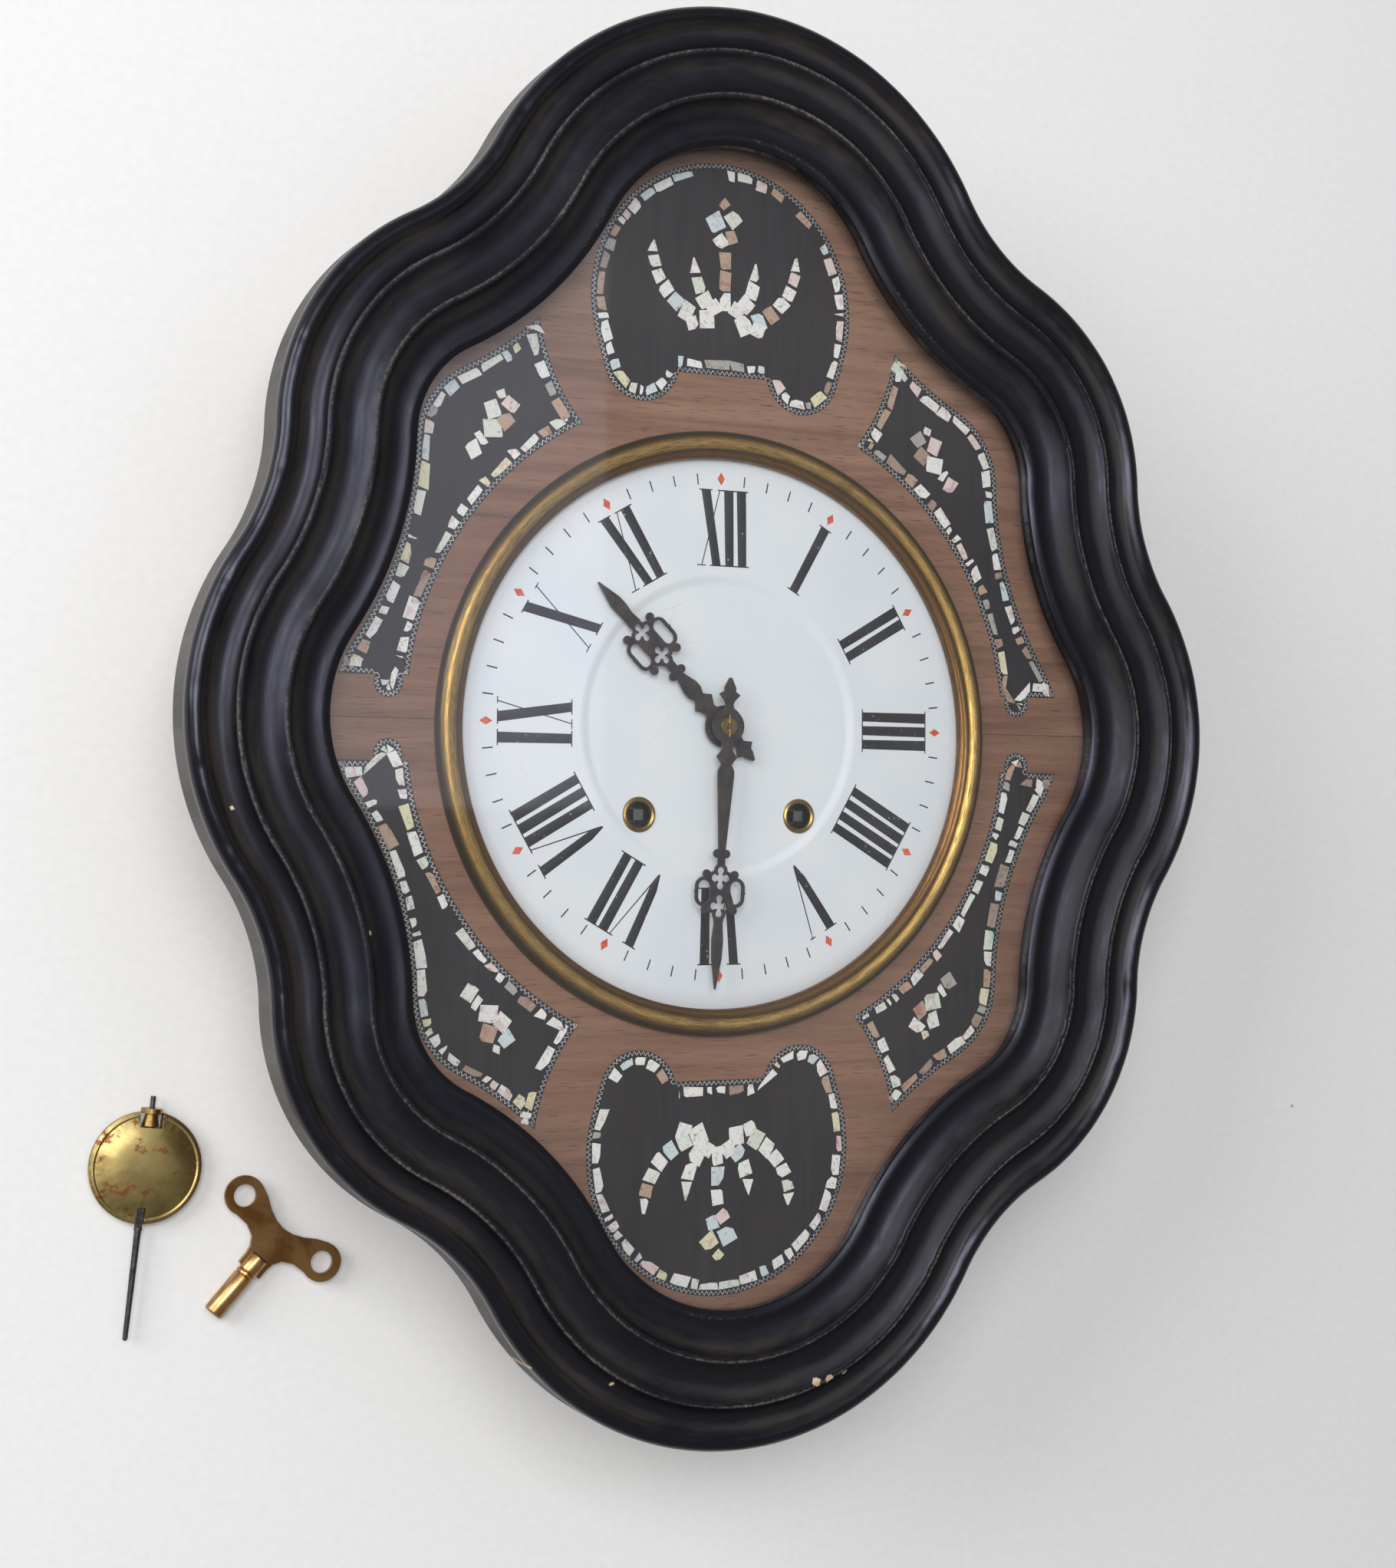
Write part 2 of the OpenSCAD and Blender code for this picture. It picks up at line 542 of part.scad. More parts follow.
// Dial: a flat middle inside a step, then a gently domed chapter ring.
function dial_top(r) = dial_z + 1.7 - 0.000177 * r * r;
function dome_profile(dz) = [for (i = [0:8]) let (r = dial_flat_r + 4 + (dial_r - dial_flat_r - 4) * i / 8)
    [r, dial_top(r) + dz]];
eyelet_r = 7.75;
eyelet_hole_r = 5.5;
module dial() color("AliceBlue") difference() {
    rotate_extrude($fn = 128) polygon(concat(
        [[6, dial_z - dial_t], [6, dial_z], [dial_flat_r, dial_z]],
        dome_profile(0),
        flipped(dome_profile(-dial_t), 1, 1),
        [[dial_flat_r + 1, dial_z - dial_t]]));
    for (s = side) translate([s * barrel_x, -barrel_x, dial_z - 3]) cylinder(r = eyelet_hole_r + 0.8, h = 5);
}
module winding_eyelets() color("DarkGoldenrod") for (s = side) translate([s * barrel_x, -barrel_x, dial_z])
    rotate_extrude() polygon([[eyelet_hole_r, -dial_t - 0.4], [eyelet_hole_r + 0.75, -dial_t - 0.4],
        [eyelet_hole_r + 0.75, 0.05], [eyelet_r, 0.05], [eyelet_r - 0.3, 0.6], [eyelet_r - 1.1, 0.95],
        [eyelet_hole_r + 0.2, 0.5], [eyelet_hole_r, 0]]);
foot_at = [56, 66];
module dial_feet() color("Peru") for (sx = side, sy = side)
    translate([sx * foot_at[0], sy * foot_at[1], train_z]) {
    foot_r = norm(foot_at);
    cylinder(r = 3, h = dial_top(foot_r + 3) - dial_t - train_z);
    translate([0, 0, -plate_t - 3]) cylinder(r = 1.45, h = plate_t + 4);
}
// Bezel: a turned brass ring with a high outer roll and fine steps inside.
module bezel() color("DarkGoldenrod") translate([0, -bezel_drop, front_z])
    rotate_extrude($fn = 128) polygon(concat(
    [[bezel_r - 4, 0], [bezel_r, 0], [bezel_r, 1.2]],
    arc_points([bezel_r - 4.6, 1.2], 4.6, 0, 110, 9),
    [[bezel_r - 8.2, 4.6], [bezel_r - 8.6, 3.8], [bezel_r - 9.2, 3.7], [bezel_r - 9.6, 3.0],
     [bezel_sight_r + 1.2, 2.8], [bezel_sight_r, 1.6], [bezel_sight_r, -0.6], [bezel_sight_r + 1, -0.8],
     [dial_hole_r - bezel_drop - 0.6, -0.8], [dial_hole_r - bezel_drop - 0.6, 0]]));

// Gears: thin straight teeth, so that meshed wheels turn freely.
function gear_points(n, m, phase) = [for (i = [0:n - 1], k = [0:3])
    let (a = phase + i * 360 / n + [-0.21, -0.09, 0.09, 0.21][k] * 360 / n,
         r = m * n / 2 + (k == 1 || k == 2 ? 0.8 : -1.15) * m)
    r * [cos(a), sin(a)]];
module gear(n, m, phase, h) linear_extrude(h) polygon(gear_points(n, m, phase));
module crossed_wheel(n, m, phase, h, hub_r) linear_extrude(h) difference() {
    polygon(gear_points(n, m, phase));
    difference() {
        circle(m * n / 2 - 1.15 * m - 2.4);
        circle(hub_r + 2);
        for (a = [0, 90]) rotate(a + phase) square([m * n, 3], center = true);
    }
}
// Train: numbers of teeth, sizes of teeth and places of the arbors.
great_n = 56;
great_m = 1;
great_pinion_n = 12;
inter_n = 64;
inter_m = 0.78;
strike_m = 0.7;
centre_pinion_n = 8;
centre_n = 84;
train_m = 0.6;
leaf_n = 7;
third_n = 77;
escape_n = 40;
escape_r = 13;
cannon_n = 12;
motion_n = 36;
motion_m = 0.8;
motion_pinion_n = 10;
hour_n = 40;
hour_m = motion_m * (cannon_n + motion_n) / (motion_pinion_n + hour_n);
pin_n = 60;
lock_pinion_n = 8;
lock_n = 56;
going_at = [barrel_x, -barrel_x];
strike_at = [-barrel_x, -barrel_x];
great_span = great_m * (great_n + great_pinion_n) / 2;
inter_span = inter_m * (inter_n + centre_pinion_n) / 2;
function meet(a, ra, b, rb) =
    let (d = norm(b - a), u = (b - a) / d, s = (ra * ra - rb * rb + d * d) / (2 * d))
    a + s * u + sqrt(ra * ra - s * s) * [u[1], -u[0]];
inter_at = meet(going_at, great_span, [0, 0], inter_span);
third_at = [0, train_m * (centre_n + leaf_n) / 2];
escape_at = third_at + [0, train_m * (third_n + leaf_n) / 2];
pallet_half = 42.75;
anchor_at = escape_at + [0, escape_r / cos(pallet_half)];
motion_at = [0, motion_m * (cannon_n + motion_n) / 2];
pin_at = strike_at + great_span * [cos(98.8), sin(98.8)];
lock_span = strike_m * (pin_n + lock_pinion_n) / 2;
lock_at = pin_at + lock_span * [cos(70.3), sin(70.3)];
fly_span = train_m * (lock_n + leaf_n) / 2;
fly_at = lock_at + fly_span * [cos(71.5), sin(71.5)];
hammer_at = [-64, 30];
arbor_r = 1.5;
barrel_arbor_r = 3.2;
// Places and radii of every pivot hole, the same in both plates.
pivots = [[inter_at, arbor_r], [third_at, arbor_r], [escape_at, arbor_r], [anchor_at, arbor_r],
          [pin_at, arbor_r], [lock_at, arbor_r], [fly_at, arbor_r], [hammer_at, arbor_r],
          [[0, 0], 2], [going_at, barrel_arbor_r], [strike_at, barrel_arbor_r]];
pillar_at = [plate_half_w - 7, plate_half_h - 7];
pillar_r = 4;
cock_screw_y = plate_half_h - 2.5;
module plate(z) difference() {
    translate([-plate_half_w, -plate_half_h, z]) cube([2 * plate_half_w, 2 * plate_half_h, plate_t]);
    for (p = pivots) translate([p[0][0], p[0][1], z - 1]) cylinder(r = p[1] + pivot_gap, h = plate_t + 2);
    for (sx = side, sy = side) translate([sx * pillar_at[0], sy * pillar_at[1], z - 1])
        cylinder(r = 2, h = plate_t + 2);
}
stud_r = 1.4;
click_at = [0, 18.6];
module front_plate() color("Gold") difference() {
    plate(top_plate_z);
    for (sx = side, sy = side) translate([sx * foot_at[0], sy * foot_at[1], top_plate_z - 1])
        cylinder(r = 1.5, h = plate_t + 2);
    for (y = bar_y, s = side) translate([s * 64, y, top_plate_z - 1]) cylinder(r = 1.6, h = plate_t + 2);
    for (p = [going_at, strike_at]) translate([p[0] + click_at[0], p[1] + click_at[1], top_plate_z - 1])
        cylinder(r = stud_r + pivot_gap, h = plate_t + 2);
    translate([motion_at[0], motion_at[1], top_plate_z + 1]) cylinder(r = stud_r + pivot_gap, h = plate_t);
}
module back_plate() color("Gold") difference() {
    plate(plate_z);
    for (s = side) translate([s * 9.5, cock_screw_y, plate_z - 1]) cylinder(r = 1.3, h = plate_t + 2);
}
module pillars() color("Gold") for (sx = side, sy = side)
    translate([sx * pillar_at[0], sy * pillar_at[1], 0]) {
    translate([0, 0, plate_z + plate_t]) cylinder(r = pillar_r, h = plate_gap);
    translate([0, 0, plate_z - 2]) cylinder(r = 2, h = plate_gap + 2 * plate_t + 4);
}

// Going train.
inter_phase = heading(going_at, inter_at);
inter_wheel_z = 71;
module arbor(z0, z1, r = arbor_r) translate([0, 0, z0]) cylinder(r = r, h = z1 - z0);
arbor_low = plate_z - 0.8;
arbor_high = train_z + 0.3;
module barrel(at, phase) translate([at[0], at[1], 0]) {
    translate([0, 0, 46]) difference() {
        gear(great_n, great_m, phase, 2.5);
        translate([0, 0, -1]) cylinder(r = barrel_arbor_r + pivot_gap, h = 5);
    }
    translate([0, 0, 48.5]) difference() {
        cylinder(r = barrel_r, h = 19.5);
        translate([0, 0, -1]) cylinder(r = barrel_arbor_r + pivot_gap, h = 22);
        translate([0, 0, 0.5]) cylinder(r = barrel_r - 1.6, h = 17);
    }
}
module going_barrel() color("Gold") barrel(going_at, inter_phase);
module strike_barrel() color("Gold") barrel(strike_at, heading(strike_at, pin_at));
// Mainspring: one flat spiral between the barrel's wall and its arbor.
coils = 7;
function spiral(r0, r1, n) = [for (i = [0:n]) let (a = i * 360 * coils / n, r = r0 + (r1 - r0) * i / n)
    r * [cos(a), sin(a)]];
module mainspring(at) translate([at[0], at[1], 50]) linear_extrude(15) polygon(concat(
    spiral(barrel_arbor_r + 1.6, barrel_r - 2.9, 112),
    flipped(spiral(barrel_arbor_r + 2.3, barrel_r - 2.2, 112), 1, 1)));
module going_spring() color("SteelBlue") mainspring(going_at);
module strike_spring() color("SteelBlue") mainspring(strike_at);
ratchet_n = 24;
ratchet_r = 13;
ratchet_z = train_z + 0.4;
ratchet_t = 1.6;
function ratchet_points() = [for (i = [0:ratchet_n - 1], k = [0, 1])
    let (a = 90 + i * 360 / ratchet_n + k * 1.2, r = k == 0 ? ratchet_r - 1.8 : ratchet_r)
    r * [cos(a), sin(a)]];
module winder(at) translate([at[0], at[1], 0]) {
    arbor(arbor_low, train_z + 5.5, barrel_arbor_r);
    translate([0, 0, ratchet_z]) linear_extrude(ratchet_t) polygon(ratchet_points());
    translate([-square_w / 2, -square_w / 2, train_z + 5]) cube([square_w, square_w, dial_z - train_z - 5.8]);
}
module going_winder() color("Gray") winder(going_at);
module strike_winder() color("Gray") winder(strike_at);
module click(at) translate([at[0] + click_at[0], at[1] + click_at[1], 0]) {
    translate([0, 0, ratchet_z]) linear_extrude(ratchet_t) {
        circle(3);
        polygon([[-2.6, -1.4], [0.15, -6.3], [1.2, -6.5], [2.6, -1.4]]);
    }
    translate([0, 0, top_plate_z]) cylinder(r = stud_r, h = plate_t + ratchet_t + 1);
}
module going_click() color("Gray") click(going_at);
module strike_click() color("Gray") click(strike_at);
module intermediate_wheel() color("Gold") translate([inter_at[0], inter_at[1], 0]) {
    translate([0, 0, 45.5]) gear(great_pinion_n, great_m, inter_phase + 180 + 180 / great_pinion_n, 3.4);
    translate([0, 0, inter_wheel_z]) crossed_wheel(inter_n, inter_m, heading(inter_at, [0, 0]), 2, 3);
    arbor(arbor_low, arbor_high);
}
minute_z = train_z + 1;
washer_t = 0.7;
pin_z = hand_high_z + hand_t + washer_t + 0.45;
module centre_arbor() color("Gray") difference() {
    union() {
        translate([0, 0, inter_wheel_z - 0.5])
            gear(centre_pinion_n, inter_m, heading([0, 0], inter_at) + 180 / centre_pinion_n, 3);
        arbor(arbor_low - 1, minute_z, 2);
        arbor(minute_z, hand_high_z + hand_t + 2, 1.3);
    }
    translate([0, 0, pin_z]) rotate([-90, 0, 0]) cylinder(r = 0.42, h = 8, center = true);
}
module centre_wheel() color("Gold") translate([0, 0, 60]) difference() {
    crossed_wheel(centre_n, train_m, 90, 2, 4);
    translate([0, 0, -1]) cylinder(r = 2, h = 4);
}
hour_pipe_r = 3.6;
module cannon_pinion() color("Gray") difference() {
    union() {
        translate([0, 0, minute_z]) gear(cannon_n, motion_m, 90, 2.2);
        translate([0, 0, minute_z]) cylinder(r = 2.4, h = hand_high_z - minute_z);
    }
    translate([0, 0, minute_z - 1]) cylinder(r = 1.3, h = 30);
}
module minute_wheel() color("Gold") translate([motion_at[0], motion_at[1], 0]) {
    translate([0, 0, minute_z + 0.3]) gear(motion_n, motion_m, 270 + 180 / motion_n, 1.4);
    translate([0, 0, minute_z + 1.7]) gear(motion_pinion_n, hour_m, 270, 2.9);
    translate([0, 0, top_plate_z + 1]) cylinder(r = stud_r, h = plate_t + 5.5);
}
module hour_wheel() color("Gold") difference() {
    union() {
        translate([0, 0, minute_z + 2.8]) gear(hour_n, hour_m, 90 + 180 / hour_n, 1.4);
        translate([0, 0, minute_z + 2.8])
            cylinder(r = hour_pipe_r, h = hand_low_z + hand_t + 0.6 - minute_z - 2.8);
    }
    translate([0, 0, minute_z]) cylinder(r = 2.4 + pivot_gap, h = 30);
}
module third_wheel() color("Gold") translate([third_at[0], third_at[1], 0]) {
    translate([0, 0, 59.5]) gear(leaf_n, train_m, 270 + 180 / leaf_n, 3);
    translate([0, 0, 46.5]) crossed_wheel(third_n, train_m, 90, 1.5, 3);
    arbor(arbor_low, arbor_high);
}
function escape_points() = [for (i = [0:escape_n - 1], k = [0:2])
    let (a = i * 360 / escape_n + [-0.1, 0.1, 0.5][k] * 360 / escape_n,
         r = k == 2 ? escape_r - 1.6 : escape_r)
    r * [cos(a), sin(a)]];
module escape_wheel() color("Gold") translate([escape_at[0], escape_at[1], 0]) {
    translate([0, 0, 46]) gear(leaf_n, train_m, 270 + 180 / leaf_n, 2.5);
    translate([0, 0, 56]) linear_extrude(1.2) polygon(escape_points());
    arbor(arbor_low, arbor_high);
}
// Anchor: two steel pallets that straddle the escape wheel, and the crutch behind the back plate.
crutch_z = 30;
pallet_gap = 0.75;
pallet_tip = [0, -escape_r / cos(pallet_half)]
    + (escape_r + pallet_gap) * [sin(pallet_half), cos(pallet_half)];
function pallet_points() = [[0, 2.6], pallet_tip + [1.1, 2.6], pallet_tip + [1.4, 0.5], pallet_tip,
    pallet_tip + [-2.3, 3.2], [0, -2.4]];
crutch_l = 38;
module anchor() color("SteelBlue") translate([anchor_at[0], anchor_at[1], 0]) {
    translate([0, 0, 55.4]) linear_extrude(2.4) {
        circle(3);
        for (m = [0, 1]) mirror([m, 0]) polygon(pallet_points());
    }
    arbor(crutch_z - 0.5, arbor_high);
    translate([0, 0, crutch_z]) {
        cylinder(r = 2.4, h = 2.4);
        translate([-1.1, -crutch_l, 0]) cube([2.2, crutch_l, 1.6]);
        for (s = side) translate([s * 2.7 - 0.7, -crutch_l - 4, -6]) cube([1.4, 4, 7.6]);
        translate([-3.4, -crutch_l - 1.5, 0]) cube([6.8, 1.5, 1.6]);
    }
}
// Suspension: a cock behind the back plate holds the thin spring for the pendulum.
cock_z = 22;
cock_y = anchor_at[1] + 3;
module suspension_cock() color("Gold") {
    translate([-13, cock_y, plate_z - 2.5]) cube([26, plate_half_h - cock_y, 2.5]);
    translate([-5, cock_y, cock_z]) cube([10, plate_half_h - cock_y, plate_z - 2 - cock_z]);
    for (s = side) translate([s * 9.5, cock_screw_y, plate_z - 4]) {
        cylinder(r = 2.2, h = 1.5);
        cylinder(r = 1.3, h = 4 + plate_t);
    }
}
module suspension_spring() color("Silver") translate([0, cock_y, 0]) {
    translate([-3, -4, cock_z + 1]) cube([6, 4, 4]);
    translate([-2, -19.5, cock_z + 2.9]) cube([4, 16, 0.2]);
    translate([-3, -24, cock_z + 1.5]) cube([6, 5, 3]);
}

// Striking train.
module pin_wheel() color("Gold") translate([pin_at[0], pin_at[1], 0]) {
    translate([0, 0, 45.5])
        gear(great_pinion_n, great_m, heading(pin_at, strike_at) + 180 / great_pinion_n, 3.4);
    translate([0, 0, 70]) crossed_wheel(pin_n, strike_m, heading(pin_at, lock_at), 2, 3);
    for (i = [0:7]) rotate(i * 45) translate([17.3, 0, 68.2]) cylinder(r = 0.8, h = 2);
    arbor(arbor_low, arbor_high);
}
module locking_wheel() color("Gold") translate([lock_at[0], lock_at[1], 0]) {
    translate([0, 0, 69.5]) gear(lock_pinion_n, strike_m, heading(lock_at, pin_at) + 180 / lock_pinion_n, 3);
    translate([0, 0, 53]) crossed_wheel(lock_n, train_m, heading(lock_at, fly_at), 1.5, 3);
    arbor(arbor_low, arbor_high);
}
module fly() color("Silver") translate([fly_at[0], fly_at[1], 0]) {
    translate([0, 0, 52.5]) gear(leaf_n, train_m, heading(fly_at, lock_at) + 180 / leaf_n, 2.5);
    translate([-12.5, -0.4, 56]) cube([25, 0.8, 10]);
    translate([0, 0, 55.5]) cylinder(r = 2.2, h = 11);
    arbor(arbor_low, arbor_high);
}
gong_at = [0, 118];
gong_z = 22;
gong_wire = 1.4;
gong_step = 3.6;
gong_start = 9;
gong_halves = 8;
function gong_radius(i) = gong_start + gong_step * i;
hammer_z = 20;
gong_left_x = gong_at[0] + gong_step - gong_radius(gong_halves - 1) - gong_wire;
hammer_head_r = 5;
hammer_arm = [gong_left_x - hammer_head_r - 1.2, gong_at[1]] - hammer_at;
tail_len = 21.5;
module hammer() color("Gray") translate([hammer_at[0], hammer_at[1], 0]) {
    arbor(hammer_z - 0.5, arbor_high);
    translate([0, 0, 68.3]) rotate(heading(hammer_at, pin_at))
        translate([0, -1.2, 0]) cube([tail_len, 2.4, 1.4]);
    translate([0, 0, 67.5]) cylinder(r = 2.6, h = 3);
    translate([0, 0, hammer_z]) {
        cylinder(r = 3, h = 4);
        rotate(heading([0, 0], hammer_arm)) translate([0, -1.2, 0.8]) cube([norm(hammer_arm), 2.4, 2.4]);
        translate([hammer_arm[0], hammer_arm[1], -2]) cylinder(r = hammer_head_r, h = 8);
    }
}
// Gong: a coil of steel rod in one plane, half turns of growing radius, on a cast post.
module gong() color("SlateGray") translate([gong_at[0], gong_at[1], gong_z]) {
    for (i = [0:gong_halves - 1]) translate([i % 2 == 0 ? 0 : gong_step, 0, 0]) rotate(i % 2 == 0 ? 0 : 180)
        rotate_extrude(angle = 180) translate([gong_radius(i), 0]) circle(gong_wire);
    translate([gong_start, 0, 0]) rotate([90, 0, 0]) cylinder(r = gong_wire, h = 5);
}
module gong_post() color("DimGray") translate([gong_at[0] + gong_start, gong_at[1] - 5, 0]) difference() {
    union() {
        translate([0, 0, back_t]) cylinder(r = 3.4, h = gong_z - back_t + 3.4);
        translate([0, 0, back_t]) cylinder(r = 4, h = 2.5);
    }
    translate([0, 0, gong_z]) rotate([-90, 0, 0]) cylinder(r = gong_wire, h = 8);
}

// Hands, drawn pointing along +Y and then set to the time.
module mirrored(points) polygon(concat(points, flipped(points, -1, 1)));
module foil(y, along, across, r) {
    for (m = side) {
        translate([0, y + m * along]) circle(r, $fn = 32);
        translate([m * across, y]) circle(r, $fn = 32);
    }
    translate([-across, y - r * 0.7]) square([2 * across, r * 1.4]);
    translate([-r * 0.7, y - along]) square([r * 1.4, 2 * along]);
}
module loop(x, y, half, r) {
    for (m = side) translate([x, y + m * half]) circle(r, $fn = 32);
    translate([x - r, y - half]) square([2 * r, 2 * half]);
}
// The pierced part of a hand: two foils on the middle line and a loop on each side.
module pierced(low, high, along, across, r, loop_x, loop_half, loop_r, wall, knob) {
    mid = (low + high) / 2;
    difference() {
        union() {
            for (y = [low, high]) foil(y, along, across, r + wall);
            translate([-across - wall, low]) square([2 * (across + wall), high - low]);
            for (s = side) loop(s * loop_x, mid, loop_half, loop_r + wall);
            for (s = side, m = side) translate([s * knob[0], mid + m * knob[1]]) circle(1.9, $fn = 32);
            for (s = side) translate([s * (loop_x + loop_r + wall - 0.9), mid])
                rotate(45) square(2, center = true);
        }
        for (y = [low, high]) foil(y, along, across, r);
        for (s = side) loop(s * loop_x, mid, loop_half, loop_r);
    }
}
module minute_shape() {
    difference() {
        circle(7.6);
        circle(1.3, $fn = 32);
    }
    mirrored([[2.8, 6.6], [2.6, 10.5], [4.9, 13.6], [3.6, 15.2], [2.5, 16.8], [3.9, 19.5],
              [3.9, 22], [1.7, 53.5], [1.8, 61]]);
    for (s = side) translate([s * 2.1, 55.6]) circle(1.9, $fn = 32);
    pierced(66.2, 78.4, 3.3, 2.7, 1.6, 7.65, 2.25, 2.75, 1.5, [6.7, 7.7]);
    mirrored([[2.4, 83], [2, 86], [2.7, 93], [2.4, 101], [0.3, minute_len]]);
    mirrored([[0.6, -21.2], [2.8, -16.8], [2.7, -15.2], [5, -13.8], [2.4, -11], [1.8, -9.5], [2.8, -6.6]]);
}
module hour_shape() {
    difference() {
        circle(9.2);
        circle(hour_pipe_r - 0.6, $fn = 32);
    }
    mirrored([[3.4, 8], [3, 10.5], [5.4, 14.4], [3.8, 16], [2.6, 17.6], [3.9, 20.5],
              [3.9, 23.5], [2, 30], [2.1, 38]]);
    for (s = side) translate([s * 2.6, 32.2]) circle(1.9, $fn = 32);
    pierced(42.6, 55.8, 2.9, 2.9, 1.5, 7.5, 3.3, 2.6, 1.5, [7.4, 9]);
    mirrored([[3, 60], [2.5, 65.4], [3, 70], [2.9, 74], [0.3, hour_len]]);
    mirrored([[0.5, -20.5], [2.2, -17.4], [2.6, -15.6], [5, -14], [2.2, -10.6], [3, -8.4]]);
}
module minute_hand() color("DimGray") translate([0, 0, hand_high_z]) rotate(-minute_at)
    linear_extrude(hand_t) minute_shape();
module hour_hand() color("DimGray") translate([0, 0, hand_low_z]) rotate(-hour_at) difference() {
    linear_extrude(hand_t) hour_shape();
    translate([0, 0, -1]) cylinder(r = hour_pipe_r, h = hand_t + 2);
}
module hand_washer() color("Goldenrod") {
    translate([0, 0, hand_high_z + hand_t]) difference() {
        cylinder(r = 3.8, h = washer_t);
        translate([0, 0, -1]) cylinder(r = 1.3, h = 3);
    }
    translate([0, 0, pin_z]) rotate([-90, 0, 0]) cylinder(r = 0.4, h = 9.6, center = true);
}

// Pendulum, taken off and laid beside the clock, with its threaded end up the table.
module pendulum_place() translate([bob_at[0], bob_at[1], bob_t / 2]) rotate(bob_turn) children();
nut_top = 25.4;
nut_low = 17.7;
thread_r = 1.1;
strip_top = 15.5;
module pendulum_rod() color("DimGray") pendulum_place() {
    rotate([-90, 0, 0]) translate([0, 0, strip_top - 1]) cylinder(r = thread_r, h = rod_down - strip_top + 1);
    translate([-1.6, -26.6, -0.5]) cube([3.2, 26.6 + strip_top, 1]);
    rotate([90, 0, 0]) translate([0, 0, 26]) cylinder(r1 = 1.5, r2 = 1.1, h = rod_up - 26 - 2.2);
    translate([0, -rod_up + 2.2, 0]) sphere(r = 1.1);
    rotate([90, 0, 0]) translate([0, 0, 25.6]) cylinder(r = 1.75, h = 1.4);
}
module pendulum_bob() color("Goldenrod") pendulum_place() difference() {
    rotate_extrude($fn = 128) polygon([[0, -bob_t / 2], [12, -bob_t / 2], [20, -3.2], [bob_r, -1.2],
        [bob_r, 1.2], [bob_r - 1.6, 1.9], [bob_r - 2.4, 1.5], [18, 3.1], [12, 4], [6, 4.4], [0, bob_t / 2]]);
    translate([-4.9, nut_low - 0.5, -6]) cube([9.8, 12, 12]);
    translate([-1.75, -bob_r - 1, -0.65]) cube([3.5, bob_r + 20, 1.3]);
    translate([-1.75, -bob_r - 1, 0]) cube([3.5, 8.2, 6]);
    rotate([-90, 0, 0]) translate([0, 0, strip_top - 6]) cylinder(r = thread_r + 0.1, h = 12);
}
module rating_nut() color("DarkGoldenrod") pendulum_place() rotate([-90, 0, 0]) difference() {
    union() {
        translate([0, 0, nut_low]) cylinder(r1 = 3.7, r2 = 2.6, h = nut_top - nut_low - 2.2);
        translate([0, 0, nut_top - 2.2]) cylinder(r = 4.6, h = 2.2);
    }
    translate([0, 0, nut_low - 1]) cylinder(r = thread_r + pivot_gap, h = 12);
}

// Key: a flat brass bow with two rings, riveted into a slotted pipe with a square hole.
module key_place() translate([key_at[0], key_at[1], key_pipe_r]) rotate(key_turn) children();
key_t = 2;
pipe_y = [-15.5, -46.6];
tab_y = -22.9;
rivet_r = 1.2;
module key_wing() color("Peru") key_place() translate([0, 0, -key_t / 2]) linear_extrude(key_t) difference() {
    union() {
        for (s = side) translate([s * key_span / 2, 0]) circle(key_ring_r);
        mirrored([[6, tab_y], [6, -18], [6.6, -14.6], [9, -11], [14, -8.6],
            [key_span / 2 - 3, -key_ring_r + 0.4], [key_span / 2 - 0.6, 0],
            [key_span / 2 - 3, key_ring_r - 0.4],
            [15, 6.2], [10, 3], [5, 0.9], [1, 0.2]]);
    }
    for (s = side) translate([s * key_span / 2, 0]) circle(key_hole_r);
    translate([0, tab_y + 3]) circle(rivet_r, $fn = 32);
}
module key_pipe() color("Peru") key_place() {
    difference() {
        rotate([90, 0, 0]) rotate_extrude() polygon([[0, -pipe_y[0]], [key_pipe_r - 0.6, -pipe_y[0]],
            [key_pipe_r, 0.6 - pipe_y[0]], [key_pipe_r, 8 - pipe_y[0]], [key_pipe_r - 0.5, 8.5 - pipe_y[0]],
            [key_pipe_r, 9 - pipe_y[0]], [key_pipe_r, 10 - pipe_y[0]], [key_pipe_r - 0.5, 10.5 - pipe_y[0]],
            [key_pipe_r, 11 - pipe_y[0]], [key_pipe_r, -0.7 - pipe_y[1]], [key_pipe_r - 0.7, -pipe_y[1]],
            [0, -pipe_y[1]]]);
        translate([-10, tab_y, -key_t / 2]) cube([20, 20, key_t]);
        translate([-key_square / 2, pipe_y[1] - 1, -key_square / 2]) cube([key_square, 19, key_square]);
    }
    translate([0, tab_y + 3, -key_pipe_r + 0.6]) cylinder(r = rivet_r, h = 2 * key_pipe_r - 1.2, $fn = 32);
}
key_square = square_w + 0.2;

case_boards();
back_board();
panel_board();
walnut_veneer();
ebony_plaques();
nacre_chips();
metal_stringing();
dial();
dial_feet();
winding_eyelets();
bezel();
hanging_plate();
case_screws();
movement_bars();
front_plate();
back_plate();
pillars();
suspension_cock();
suspension_spring();
gong();
gong_post();
fixed_hinge_leaves();
door_frame();
door_glass();
glass_wedges();
door_hinge_leaves();
catch_pin();
door_hook();
rear_door();
rear_hinge_leaf();
turn_button();
centre_arbor();
centre_wheel();
cannon_pinion();
minute_hand();
hand_washer();
hour_wheel();
hour_hand();
minute_wheel();
intermediate_wheel();
third_wheel();
escape_wheel();
anchor();
going_barrel();
going_spring();
going_winder();
going_click();
strike_barrel();
strike_spring();
strike_winder();
strike_click();
pin_wheel();
locking_wheel();
fly();
hammer();
pendulum_rod();
pendulum_bob();
rating_nut();
key_wing();
